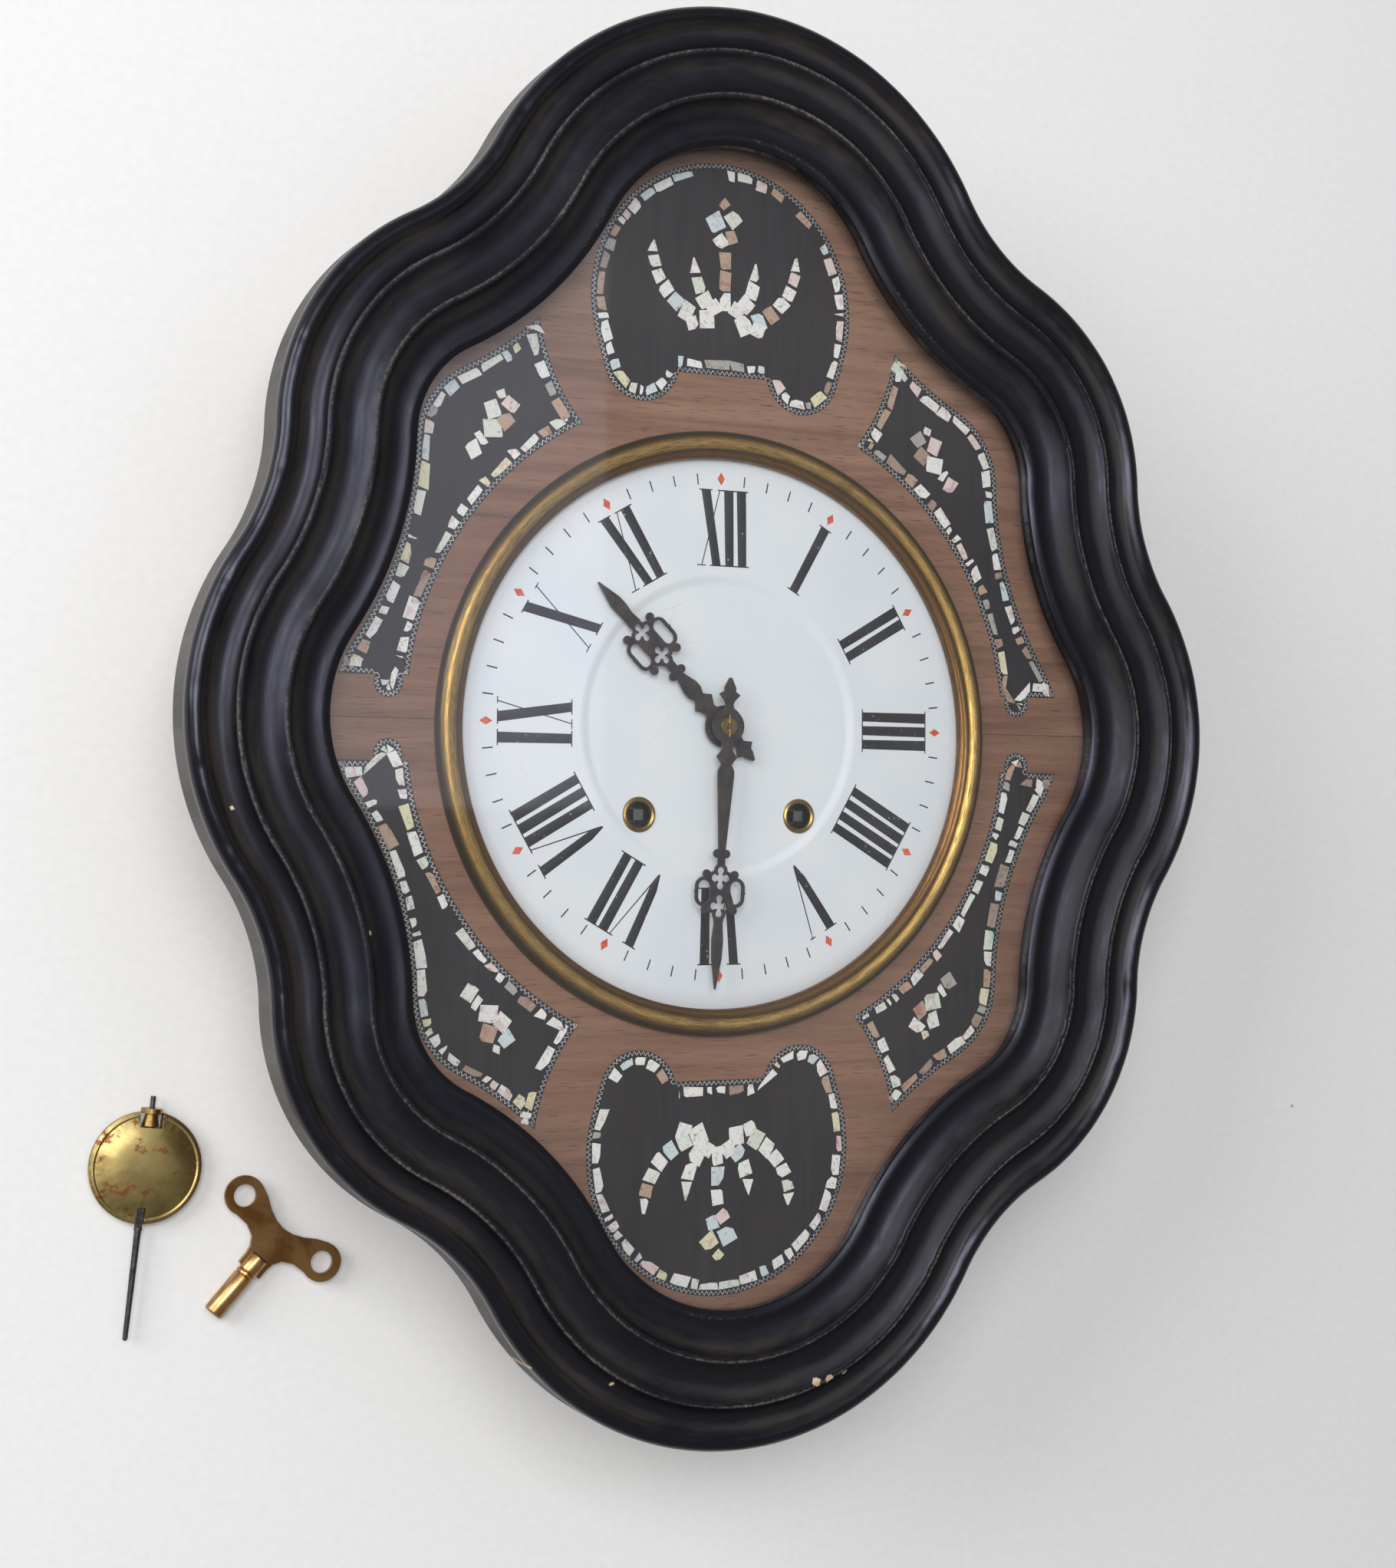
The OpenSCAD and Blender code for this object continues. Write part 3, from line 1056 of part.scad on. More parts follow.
key_pipe();
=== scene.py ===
# %% [markdown]
# # An old wall clock, laid on a table
#
# The object is a spring-driven striking clock of the nineteenth century. Its
# front is a wavy black moulding with three hollows; behind the glass lie a
# walnut ground with nacre inlay, a brass bezel and a white enamel dial. Its
# pendulum and winding key lie beside it.
#
# The measured model is loaded first and stays as it is. What the eye sees
# closely is then built again, finer, as surfaces worked out with numpy.

# %% Load the frame
import json
import math
from functools import partial

import bmesh
import bpy
import numpy as np
from mathutils import Matrix, Vector


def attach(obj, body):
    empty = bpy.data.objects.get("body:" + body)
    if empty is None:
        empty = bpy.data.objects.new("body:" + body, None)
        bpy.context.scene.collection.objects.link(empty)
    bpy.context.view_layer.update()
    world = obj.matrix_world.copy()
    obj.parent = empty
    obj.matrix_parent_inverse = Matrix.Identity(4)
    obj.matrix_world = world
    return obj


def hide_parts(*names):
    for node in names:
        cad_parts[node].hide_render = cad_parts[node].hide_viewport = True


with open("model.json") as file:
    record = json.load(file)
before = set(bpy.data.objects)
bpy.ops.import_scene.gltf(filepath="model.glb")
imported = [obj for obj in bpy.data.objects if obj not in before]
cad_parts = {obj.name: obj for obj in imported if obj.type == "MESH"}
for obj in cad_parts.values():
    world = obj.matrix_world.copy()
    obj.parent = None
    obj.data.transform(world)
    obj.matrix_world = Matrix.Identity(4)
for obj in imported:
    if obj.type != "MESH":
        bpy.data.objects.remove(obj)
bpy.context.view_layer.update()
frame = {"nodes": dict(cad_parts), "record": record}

MM = 0.001
print(len(frame["nodes"]), "measured parts loaded")

# %% [markdown]
# ## Camera
#
# The photograph was taken with a lens of about 55 mm, a little more than a
# metre above the table and from the lower left. The camera's three axes come
# from the ellipses that the round dial makes in the picture, so they are given
# as numbers instead of angles.

# %% Camera


def place(name, data):
    """A new object that shows data, put in the scene."""
    held = bpy.data.objects.new(name, data)
    bpy.context.scene.collection.objects.link(held)
    return held


right = (0.90402428, 0.00495326, 0.42745241)
up = (-0.01488852, 0.99969104, 0.01990363)
back = (-0.42722176, -0.0243575, 0.90381872)
stand = (-0.4575, -0.05066, 1.0411)
lens = bpy.data.cameras.new("camera")
lens.sensor_fit, lens.sensor_height, lens.lens = "VERTICAL", 36.0, 55.08
camera = place("camera", lens)
turn = Matrix((right, up, back)).transposed().to_4x4()
camera.matrix_world = Matrix.Translation(stand) @ turn
bpy.context.scene.camera = camera
bpy.context.scene.view_settings.view_transform = "Standard"

# %% [markdown]
# ## Tools for finishes
#
# A finish is a tree of nodes. linear turns a colour as painters write it into
# the linear values that light works with. plug fills in a node's inputs, and
# add makes a node with its settings and inputs. Inputs are named or given in
# order; for MapRange that is a value, its old range and its new range.

# %% Tools for finishes


def linear(code):
    """Linear colour of an sRGB hex code: c / 12.92 for dark channels, else ((c + 0.055) / 1.055) to the power 2.4."""
    c = np.array([int(code[k : k + 2], 16) for k in (1, 3, 5)]) / 255.0
    c = np.where(c <= 0.04045, c / 12.92, ((c + 0.055) / 1.055) ** 2.4)
    return (*c.tolist(), 1.0)


def plug(node, sockets):
    """Gives inputs, by name or in order, a number, a hex colour, or the node or output that feeds them.

    A node stands for its first output in use."""
    for key, value in sockets.items() if isinstance(sockets, dict) else enumerate(sockets):
        if isinstance(value, str):
            value = linear(value)
        if isinstance(value, bpy.types.Node):
            value = next(o for o in value.outputs if o.enabled)
        if isinstance(value, bpy.types.NodeSocket):
            node.id_data.links.new(value, node.inputs[key])
        else:
            node.inputs[key].default_value = value


def add(tree, kind, sockets=None, stops=None, **settings):
    """Adds a node with its settings, its inputs and, for a colour ramp, its marks."""
    made = tree.nodes.new("ShaderNode" + kind)
    for name, value in settings.items():
        setattr(made, name, value)
    plug(made, sockets or {})
    if stops:
        marks = made.color_ramp.elements
        while len(marks) < len(stops):
            marks.new(0.5)
        for mark, (at, colour) in zip(marks, stops):
            mark.position, mark.color = at, linear(colour)
    return made


def finish(name, **shine):
    """Starts a finish: the material, a tool that adds nodes to it, its surface, and the point's place on the object."""
    made = bpy.data.materials.new(name)
    made.use_nodes = True
    made.node_tree.nodes.clear()
    put = partial(add, made.node_tree)
    skin = put("BsdfPrincipled", {k.replace("_", " "): v for k, v in shine.items()})
    put("OutputMaterial", [skin])
    return made, put, skin, put("TexCoord").outputs["Object"]


# %% [markdown]
# ## Tools for shapes
#
# Most pieces are a grid of points: rows follow one direction of the piece and
# columns the other. A closed direction joins its last row to its first, so no
# seam is left open. Another tool makes many small flat tiles at once, with
# a tiny chamfer that catches the light as a real cut edge does, and a third
# cuts one shape out of another.

# %% Tools for shapes


def mesh_of(name, points, faces):
    """A mesh from points in millimetres, in an array of any shape, and faces."""
    mesh = bpy.data.meshes.new(name)
    mesh.from_pydata((points.reshape(-1, 3) * MM).tolist(), [], [list(f) for f in faces])
    return mesh


def build(name, points, faces, body, finish_, values=None, sharp=35.0):
    """A piece that rides on body. values are numbers kept at each point for the finish to read."""
    mesh = mesh_of(name, points, faces)
    mesh.validate()
    for key, value in (values or {}).items():
        value = np.asarray(value, np.float32)
        kind = "FLOAT_VECTOR" if value.ndim == 2 else "FLOAT"
        held = mesh.attributes.new(key, kind, "POINT")
        held.data.foreach_set("vector" if value.ndim == 2 else "value", value.ravel())
    mesh.polygons.foreach_set("use_smooth", np.ones(len(mesh.polygons), bool))
    mesh.set_sharp_from_angle(angle=math.radians(sharp))
    mesh.materials.append(finish_)
    piece = place(name, mesh)
    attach(piece, body)
    return piece


def carve(piece, points, faces, use_self=False):
    """Takes a closed shape away from a piece. The shape is only a tool and is removed again."""
    cutter = place("cutter", mesh_of("cutter", points, faces))
    cut = piece.modifiers.new("cut", "BOOLEAN")
    cut.object, cut.operation, cut.solver, cut.use_self = cutter, "DIFFERENCE", "EXACT", use_self
    bpy.context.view_layer.update()
    carved = bpy.data.meshes.new_from_object(piece.evaluated_get(bpy.context.evaluated_depsgraph_get()))
    piece.modifiers.clear()
    piece.data = carved
    carved.name = piece.name
    bpy.data.objects.remove(cutter)
    print(piece.name, "after cutting:", len(carved.polygons), "faces")


def weave(rows, columns, round_rows=False, round_columns=False, start=0):
    """Quads between neighbours of a grid whose points are numbered row by row from start.

    Row direction times column direction is the side a quad faces."""
    at = start + np.arange(rows * columns).reshape(rows, columns)
    if round_rows:
        at = np.concatenate([at, at[:1]], 0)
    if round_columns:
        at = np.concatenate([at, at[:, :1]], 1)
    quads = np.stack([at[:-1, :-1], at[1:, :-1], at[1:, 1:], at[:-1, 1:]], -1)
    return quads.reshape(-1, 4)


def arc(centre, radius, start, end, count):
    """Points on a circle: centre plus radius times the cosine and sine of an angle that runs from start to end."""
    a = np.radians(np.linspace(start, end, count))
    return np.stack([centre[0] + radius * np.cos(a), centre[1] + radius * np.sin(a)], -1)


def tiles(corners, low, high, chamfer):
    """Flat tiles from corners (tile, corner, xy), counter-clockwise.

    Each tile has three rings: the outline at low, the outline a chamfer below
    high, and the outline drawn in towards the tile's middle at high."""
    count, k = corners.shape[:2]
    low, high = np.broadcast_to(low, count), np.broadcast_to(high, count)
    mid = corners.mean(1, keepdims=True)
    away = mid - corners
    drawn = corners + away / np.linalg.norm(away, axis=-1, keepdims=True) * chamfer * 1.4
    flat = np.stack([corners, corners, drawn], 1)
    z = np.stack([low, high - chamfer, high], 1)[:, :, None, None]
    points = np.concatenate([flat, np.broadcast_to(z, (count, 3, k, 1))], -1)
    base = np.arange(count)[:, None] * 3 * k
    ring = np.arange(k)
    after = (ring + 1) % k
    sides = [np.stack([r + ring, r + after, r + k + after, r + k + ring], -1) for r in (base, base + k)]
    faces = np.concatenate(sides, 1).reshape(-1, 4).tolist()
    return points, faces + (base + 2 * k + ring).tolist() + (base + ring[::-1]).tolist()


# %% [markdown]
# ## The outline of the front
#
# The wavy outline is made of arcs that run smoothly into each other: a round
# lobe at the top, one at each corner and one at each side, with a hollow arc
# between neighbours. A hollow touches both of its lobes, so its centre lies at
# the sum of the radii from each lobe's centre. Moving every point inwards
# along its normal gives the same outline for each moulded edge.

# %% The outline of the front
TOP, TOP_R = np.array([0.0, 182.0]), 128.0
CORNER, CORNER_R = np.array([103.2, 114.2]), 102.2
SIDE, SIDE_R = np.array([121.6, 0.0]), 119.4


def touching(a, ra, b, rb, r):
    """Centre of the circle of radius r that touches both lobes from outside.

    It is where circles of radius ra + r and rb + r round the lobes' centres cross."""
    span = np.linalg.norm(b - a)
    u = (b - a) / span
    s = (span**2 + (ra + r) ** 2 - (rb + r) ** 2) / (2 * span)
    return a + s * u + math.sqrt((ra + r) ** 2 - s**2) * np.array([-u[1], u[0]])


def heading(a, b):
    """The direction from a to b, in degrees."""
    return math.degrees(math.atan2(b[1] - a[1], b[0] - a[0]))


HOLLOW_A_R, HOLLOW_B_R = 90.8, 95.8
HOLLOW_A = touching(TOP, TOP_R, CORNER, CORNER_R, HOLLOW_A_R)
HOLLOW_B = touching(CORNER, CORNER_R, SIDE, SIDE_R, HOLLOW_B_R)
ARCS = [
    (SIDE, SIDE_R, 0.0, heading(SIDE, HOLLOW_B), 1),
    (HOLLOW_B, HOLLOW_B_R, heading(HOLLOW_B, SIDE) % 360, heading(HOLLOW_B, CORNER) % 360, -1),
    (CORNER, CORNER_R, heading(CORNER, HOLLOW_B), heading(CORNER, HOLLOW_A), 1),
    (HOLLOW_A, HOLLOW_A_R, heading(HOLLOW_A, CORNER) % 360, heading(HOLLOW_A, TOP) % 360, -1),
    (TOP, TOP_R, heading(TOP, HOLLOW_A), 90.0, 1),
]


def front_edge(count):
    """Points round the outline, count in each quarter, and their outward normals.

    A length along the quarter picks its arc and its angle there; the other quarters are mirrored."""
    centre = np.array([a[0] for a in ARCS])
    radius, start, end, side = (np.array([a[k] for a in ARCS], float) for k in (1, 2, 3, 4))
    length = np.abs(np.radians(end - start)) * radius
    ends = np.cumsum(length)
    s = (np.arange(count) + 0.5) / count * ends[-1]
    k = np.searchsorted(ends, s)
    angle = np.radians(start[k] + (end - start)[k] * (s - ends[k] + length[k]) / length[k])
    normal = np.stack([np.cos(angle), np.sin(angle)], -1)
    point = centre[k] + radius[k, None] * normal
    normal = normal * side[k, None]
    signs = [(1, 1, 1), (-1, 1, -1), (-1, -1, 1), (1, -1, -1)]
    points = np.concatenate([(point * (x, y))[::way] for x, y, way in signs])
    normals = np.concatenate([(normal * (x, y))[::way] for x, y, way in signs])
    return points, normals, ends[-1] * 4


edge, outward, edge_length = front_edge(248)
print("outline", round(edge_length), "mm long,", len(edge), "points")

# %% [markdown]
# ## The moulded front
#
# The front was turned and carved from pearwood, stained black and polished
# with shellac. Its section is one closed line: up the outer wall, over a
# round bead, through three hollows with a narrow ridge between them, over
# the lip, and back under the rebate that holds the glass. Carrying that line
# along the outline gives the whole front as one grid.
#
# Real handwork is never quite even, so the surface wavers by a tenth of a
# millimetre, and the ridges have small knocks.

# %% The section of the moulding
FRAME_Z = 97.3  # height of the front's back above the table


def hollow(a, b, depth, count):
    """An arc from a to b, w apart, that dips by depth at its middle.

    Its radius is (w * w / 4 + depth * depth) / (2 * depth)."""
    a, b = np.array(a), np.array(b)
    w = np.linalg.norm(b - a)
    r = (w * w / 4 + depth**2) / (2 * depth)
    c = (a + b) / 2 + (r - depth) * np.array([a[1] - b[1], b[0] - a[0]]) / w
    start, end = heading(c, a), heading(c, b)
    end = end if end > start else end + 360
    return arc(c, r, start, end, count)


section = np.concatenate(
    [
        [[0.5, 0.0], [0.0, 0.5], [0, 4], [0, 8], [0, 12], [0, 16]],
        arc((4.6, 19.4), 4.6, 180, 78, 12),
        hollow((7.8, 22.4), (19.1, 25.45), 3.5, 17)[:-1],
        [[19.1, 25.4], [19.4, 25.56], [19.8, 25.6], [20.9, 25.6], [21.3, 25.56], [21.6, 25.4]],
        hollow((21.6, 25.45), (38.1, 25.95), 3.6, 20)[1:-1],
        [[38.1, 25.9], [38.4, 26.06], [38.8, 26.1], [39.9, 26.1], [40.3, 26.06], [40.6, 25.9]],
        hollow((40.6, 25.9), (55.1, 18.7), 3.6, 18)[1:-1],
        [[55.1, 18.6], [55.5, 18.66], [56.5, 18.66], [57.0, 18.4], [58.6, 18.05], [59, 17.7]],
        [[59, 16], [59, 14.4], [59, 13], [56.5, 13], [54, 13], [52, 13], [52, 9], [52, 4], [52, 0]],
        [[35, 0], [18, 0]],
    ]
)
inwards, raised = section.T
print(len(section), "points in the section")

# %% The moulding as one grid
rows, columns = len(edge), len(section)
flat = edge[:, None] - outward[:, None] * inwards[None, :, None]
height = np.broadcast_to(raised, (rows, columns))
x, y = flat[..., 0], flat[..., 1]
waver = np.sin(x * 0.083 + 2.1) * np.sin(y * 0.071 + 0.4)
waver = waver + 0.6 * np.sin(x * 0.19 - y * 0.16) + 0.4 * np.sin(x * 0.31 + y * 0.37)
shown = np.clip((raised - 12) / 4, 0, 1) * (inwards < 58.5)


def close_to(way_in, width):
    """1 on the line that lies way_in from the edge, falling to e to the power -1 at width beside it."""
    return np.exp(-(((inwards - way_in) / width) ** 2))


rng = np.random.default_rng(62)
KNOCKS = 150  # how many knocks the ridges have
ridge = close_to(20.3, 1.3) + close_to(39.3, 1.3) + 0.6 * close_to(3.4, 2.2)
knock_at, knock_size, knock_depth = (rng.uniform(*r, KNOCKS) for r in ((0, edge_length), (1.0, 3.2), (0.08, 0.42)))
along = (np.arange(rows) + 0.5) / rows * edge_length
knocks = (knock_depth * np.exp(-(((along[:, None] - knock_at) / knock_size) ** 2))).sum(1)
dip = np.minimum(knocks, 0.6)[:, None] * ridge
height = FRAME_Z + height + (0.07 * waver - 0.05) * shown - dip * shown

# %% [markdown]
# Splinters are missing from the outer edge at the bottom, where the pale wood
# shows. Each is a soft bite out of the grid, and a number at each point tells
# the finish where wood is bare. Other numbers mark the ridges, the wall, the
# glossy bead and the dusty side of each hollow. The last one, flow, is a place
# that runs round the outline without a seam, so that smears can follow it.

# %% Marks for the finish
bites = np.array([[-19.0, -311.0, 7.0], [2.0, -310.0, 4.0], [-62.0, -299.5, 3.0]])
reach = np.linalg.norm(flat[:, :, None] - bites[:, :2], axis=-1) / bites[:, 2]
near_edge = np.clip(1 - inwards / 7.0, 0, 1)
bite = (np.exp(-(reach**2)) * [1.0, 0.6, 0.5]).sum(-1)
low_part = np.exp(-(((raised - 3.0) / 5.0) ** 2))
flat = flat - outward[:, None] * (2.2 * bite * near_edge * low_part)[..., None]
patch = np.array([
    [-113.7, -260.4, 2.4], [-104, -264, 2.0], [-97, -266.5, 1.6],
    [34.6, -283.2, 2.2], [41, -282.4, 2.4], [50, -280.5, 1.6],
    [-60, -276, 1.2], [-166, -88, 1.5], [150, -60, 1.4], [-222, -38, 1.2], [186, 52, 1.4],
])
worn = (np.exp(-((np.linalg.norm(flat[:, :, None] - patch[:, :2], axis=-1) / patch[:, 2]) ** 2))).sum(-1)
bare = np.clip(1.3 * bite * near_edge * low_part + 1.1 * worn, 0, 1)


def spread(values):
    """The same value for a whole line of the moulding, at each of its points."""
    return np.broadcast_to(values, (rows, columns)).ravel()


ring = along[:, None] / edge_length * 2 * np.pi
round_ = edge_length / 2 / np.pi
flow = np.stack([spread(v) for v in (round_ * np.cos(ring), round_ * np.sin(ring), inwards * 7.0)], -1) * MM
arris = close_to(20.0, 0.75) + close_to(39.0, 0.75) + 0.45 * close_to(56.0, 0.8)
wall = np.where((raised < 19) & (inwards < 3), 1.0, 0.0)
bead = np.clip(np.where((raised > 17) & (inwards < 9), 1.0, 0.0) + np.where(inwards > 56.6, 0.8, 0.0), 0, 1)
dusty = np.clip(close_to(9.5, 3.4) + 0.8 * close_to(25.5, 3.8) + 0.8 * close_to(44.0, 3.6), 0, 1)

# %% [markdown]
# ## Black shellac on pearwood
#
# The polish gives a deep black with a bluish sheen. Dust and old wax have
# settled as a brown-grey film on the outer side of each hollow, and the
# ridges are rubbed grey. Film and rubbing are duller than the polish, so they
# drive the roughness too. Smears are 5 to 40 mm long and follow the moulding.

# %% Black shellac on pearwood
black_wood, put, skin, spot = finish("shellac polish on blackened pearwood", IOR=1.5, Specular_Tint="#cdcfe6")
trail = put("Attribute", attribute_name="flow").outputs["Vector"]
NAMES = ("arris", "wall", "dusty", "bare", "bead")
ridge_mark, wall_mark, dust_mark, bare_mark, bead_mark = (
    put("Attribute", attribute_name=name).outputs["Fac"] for name in NAMES
)
smear = put("TexNoise", {"Vector": trail, "Scale": 46.0, "Detail": 5.0, "Roughness": 0.62})
cloud = put("TexNoise", {"Vector": spot, "Scale": 17.0, "Detail": 3.0})
speck = put("TexNoise", {"Vector": spot, "Scale": 620.0, "Detail": 4.0, "Roughness": 0.7})
film = put("Math", [smear, dust_mark], operation="MULTIPLY")
film = put("Math", [film, cloud], operation="MULTIPLY")
film = put("MapRange", [film, 0.08, 0.3])
rub = put("Math", [speck, 0.42], operation="SUBTRACT")
rub = put("Math", [rub, 1.7, ridge_mark], operation="MULTIPLY_ADD")
rub = put("Math", [rub, cloud, 0.0], operation="MULTIPLY_ADD")
rub = put("MapRange", [rub, 0.3, 0.78])
tint = put("ValToRGB", [cloud], stops=[(0.35, "#0a0a0e"), (0.6, "#100e0f")])
tint = put("Mix", {"Factor": film, 6: tint, 7: "#2b2620"}, data_type="RGBA")
grey = put("ValToRGB", [speck], stops=[(0.3, "#453f39"), (0.7, "#6b645d")])
tint = put("Mix", {"Factor": rub, 6: tint, 7: grey}, data_type="RGBA")
side = put("ValToRGB", [smear], stops=[(0.3, "#3f3c38"), (0.65, "#5d5954")])
tint = put("Mix", {"Factor": wall_mark, 6: tint, 7: side}, data_type="RGBA")
open_wood = put("Math", [speck, 0.9, bare_mark], operation="MULTIPLY_ADD")
open_wood = put("MapRange", [open_wood, 0.98, 1.04])
pale = put("ValToRGB", [smear], stops=[(0.3, "#a58462"), (0.7, "#d2bda0")])
tint = put("Mix", {"Factor": open_wood, 6: tint, 7: pale}, data_type="RGBA")
dull = put("Math", [film, rub], operation="MAXIMUM")
dull = put("Math", [dull, wall_mark], operation="MAXIMUM")
gloss = put("MapRange", [smear, 0.3, 0.7, 0.32, 0.5])
gloss = put("Mix", {"Factor": dull, "A": gloss, "B": 0.66}, data_type="FLOAT")
bead_gloss = put("MapRange", [smear, 0.3, 0.7, 0.16, 0.36])
gloss = put("Mix", {"Factor": bead_mark, "A": gloss, "B": bead_gloss}, data_type="FLOAT")

# %% [markdown]
# Where the front's pieces are joined the polish has cracked. Each crack is a
# dark groove beside a line across the moulding: the distance from that line,
# with some noise added, is compared with a third of a millimetre.

# %% Cracks and fine relief
cracks = [
    ((30.0, -280.0), (0.985, 0.17), 34.0), ((-231.0, 6.0), (0.25, 0.97), 13.0), ((222.0, 28.0), (-0.25, 0.97), 22.0),
]
groove = None
for (cx, cy), (nx, ny), half in cracks:
    off = put("VectorMath", [spot, (cx * MM, cy * MM, 0.0)], operation="SUBTRACT")
    across = put("VectorMath", [off, (nx, ny, 0.0)], operation="DOT_PRODUCT")
    wander = put("TexNoise", {"Vector": spot, "Scale": 90.0, "Detail": 4.0})
    across = put("Math", [wander, 0.006, across], operation="MULTIPLY_ADD")
    across = put("Math", [across, 0.003], operation="SUBTRACT")
    across = put("Math", [across], operation="ABSOLUTE")
    line = put("Math", [across, 0.00032], operation="LESS_THAN")
    away = put("VectorMath", [off], operation="LENGTH")
    near = put("Math", [away, half * MM], operation="LESS_THAN")
    line = put("Math", [line, near], operation="MULTIPLY")
    groove = line if groove is None else put("Math", [groove, line], operation="MAXIMUM")
tint = put("Mix", {"Factor": groove, 6: tint, 7: "#0b0908"}, data_type="RGBA")
relief = put("Math", [speck, 0.25, smear], operation="MULTIPLY_ADD")
relief = put("Math", [relief, groove], operation="SUBTRACT")
bumps = put("Bump", {"Height": relief, "Distance": 0.12 * MM, "Strength": 0.5})
plug(skin, {"Base Color": tint, "Roughness": gloss, "Normal": bumps})

# %% The moulded front, in place
marks = {"arris": arris, "wall": wall, "bead": bead, "dusty": dusty, "bare": bare}
marks = {"flow": flow, **{name: spread(values) for name, values in marks.items()}}
points = np.concatenate([flat, height[..., None]], -1)
faces = weave(rows, columns, True, True)
front = build("moulded_front", points, faces, "door", black_wood, marks, sharp=50.0)
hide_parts("door_frame")
print("moulded front:", len(front.data.polygons), "faces")

# %% [markdown]
# The hinges are let into the back of the front: shallow pockets, cut here as
# a joiner would, by taking box shapes away. Each hinge has a wide shallow box
# for its leaf and a narrow deeper one for its knuckle.

# %% Hinge pockets
boxes, walls = [], []
for y in (-28.0, 28.0):
    for x0, x1, z1 in ((-228.0, -210.0, FRAME_Z + 1.2), (-230.5, -225.5, FRAME_Z + 2.1)):
        corners = np.array([[[x0, y - 13.5], [x1, y - 13.5], [x1, y + 13.5], [x0, y + 13.5]]])
        points, faces = tiles(corners, FRAME_Z - 1.0, z1, 0.01)
        walls += [[i + 12 * len(boxes) for i in f] for f in faces]
        boxes.append(points)
carve(front, np.concatenate(boxes), walls, use_self=True)
print("marks kept:", "flow" in front.data.attributes)

# %% [markdown]
# ## Walnut ground
#
# The ground is two sheets of walnut veneer that meet at the middle, with the
# grain running across. Walnut's figure is long soft bands with short dark
# pores a few tenths of a millimetre wide: noise stretched about twenty times
# along the grain. A century of light has faded it to a greyish brown.

# %% Walnut ground
walnut, put, skin, spot = finish("faded walnut veneer, satin polish", IOR=1.45)
grain = put("VectorMath", [spot, (9.0, 170.0, 9.0)], operation="MULTIPLY")
bands = put("TexNoise", {"Vector": grain, "Scale": 1.0, "Detail": 5.0, "Roughness": 0.6, "Distortion": 0.4})
pores = put("VectorMath", [spot, (95.0, 1900.0, 95.0)], operation="MULTIPLY")
pores = put("TexNoise", {"Vector": pores, "Scale": 1.0, "Detail": 2.0})
pores = put("MapRange", [pores, 0.6, 0.72])
broad = put("TexNoise", {"Vector": spot, "Scale": 8.0, "Detail": 2.0})
tint = put("ValToRGB", [bands], stops=[(0.3, "#64432f"), (0.47, "#8a6450"), (0.72, "#a48069")])
shade = put("ValToRGB", [broad], stops=[(0.3, "#71503d"), (0.65, "#93705b")])
tint = put("Mix", {"Factor": 0.42, 6: tint, 7: shade}, data_type="RGBA")
tint = put("Mix", {"Factor": pores, 6: tint, 7: "#573b29"}, data_type="RGBA")
parts = put("SeparateXYZ", [spot]).outputs
joint = put("Math", [parts["Y"]], operation="ABSOLUTE")
joint = put("Math", [joint, 0.00018], operation="LESS_THAN")
lower = put("Math", [parts["Y"], 0.0], operation="LESS_THAN")
lower = put("Math", [lower, 0.22], operation="MULTIPLY")
tint = put("Mix", {"Factor": lower, 6: tint, 7: "#6e4d3c"}, data_type="RGBA")
tint = put("Mix", {"Factor": joint, 6: tint, 7: "#4a352b"}, data_type="RGBA")
gloss = put("MapRange", [bands, 0.0, 1.0, 0.34, 0.5])
bumps = put("Bump", {"Height": pores, "Distance": -0.05 * MM, "Strength": 0.5})
plug(skin, {"Base Color": tint, "Roughness": gloss, "Normal": bumps})

# %% [markdown]
# ## Plaques
#
# Six plaques of dark stained wood are let into the walnut. The round ones
# join a dome to two small lobes; the side ones follow the front's outline on
# one side and the dial on the other, and end in a little round tab. Each
# outline is a chain of arcs, so the band of chips can follow it exactly.

# %% Outlines of the plaques
DOME, DOME_R = np.array([0.0, 184.8]), 63.0
LOBE, LOBE_R = np.array([39.0, 158.0]), 18.0
DOME_FOOT = 154.2  # where the lower edge of a round plaque is
GAP_R = 87.5  # a side plaque keeps this far from the dome's centre,
DIAL_GAP_R = 144.5  # this far from the dial's centre,
FRONT_GAP = 64.5  # this far inside the front's outline,
TAB_Y = 17.6  # and this far above the joint of the veneer, where its tab starts
TAB, TAB_R = (152.1, 14.7), 6.3
GROUND_Z = 97.0  # top of the veneer and of the plaques
MIRRORS = [(1, 1), (-1, 1), (-1, -1), (1, -1)]


def even(points, step):
    """The closed line through points, walked in equal steps near the given length, and its outward normals."""
    loop = np.concatenate([points, points[:1]])
    length = np.r_[0, np.cumsum(np.linalg.norm(np.diff(loop, axis=0), axis=1))]
    s = np.linspace(0, length[-1], int(length[-1] / step), endpoint=False)
    line = np.stack([np.interp(s, length, loop[:, k]) for k in (0, 1)], -1)
    way = np.roll(line, -2, 0) - np.roll(line, 2, 0)
    way /= np.linalg.norm(way, axis=1, keepdims=True)
    return line, np.stack([way[:, 1], -way[:, 0]], -1)


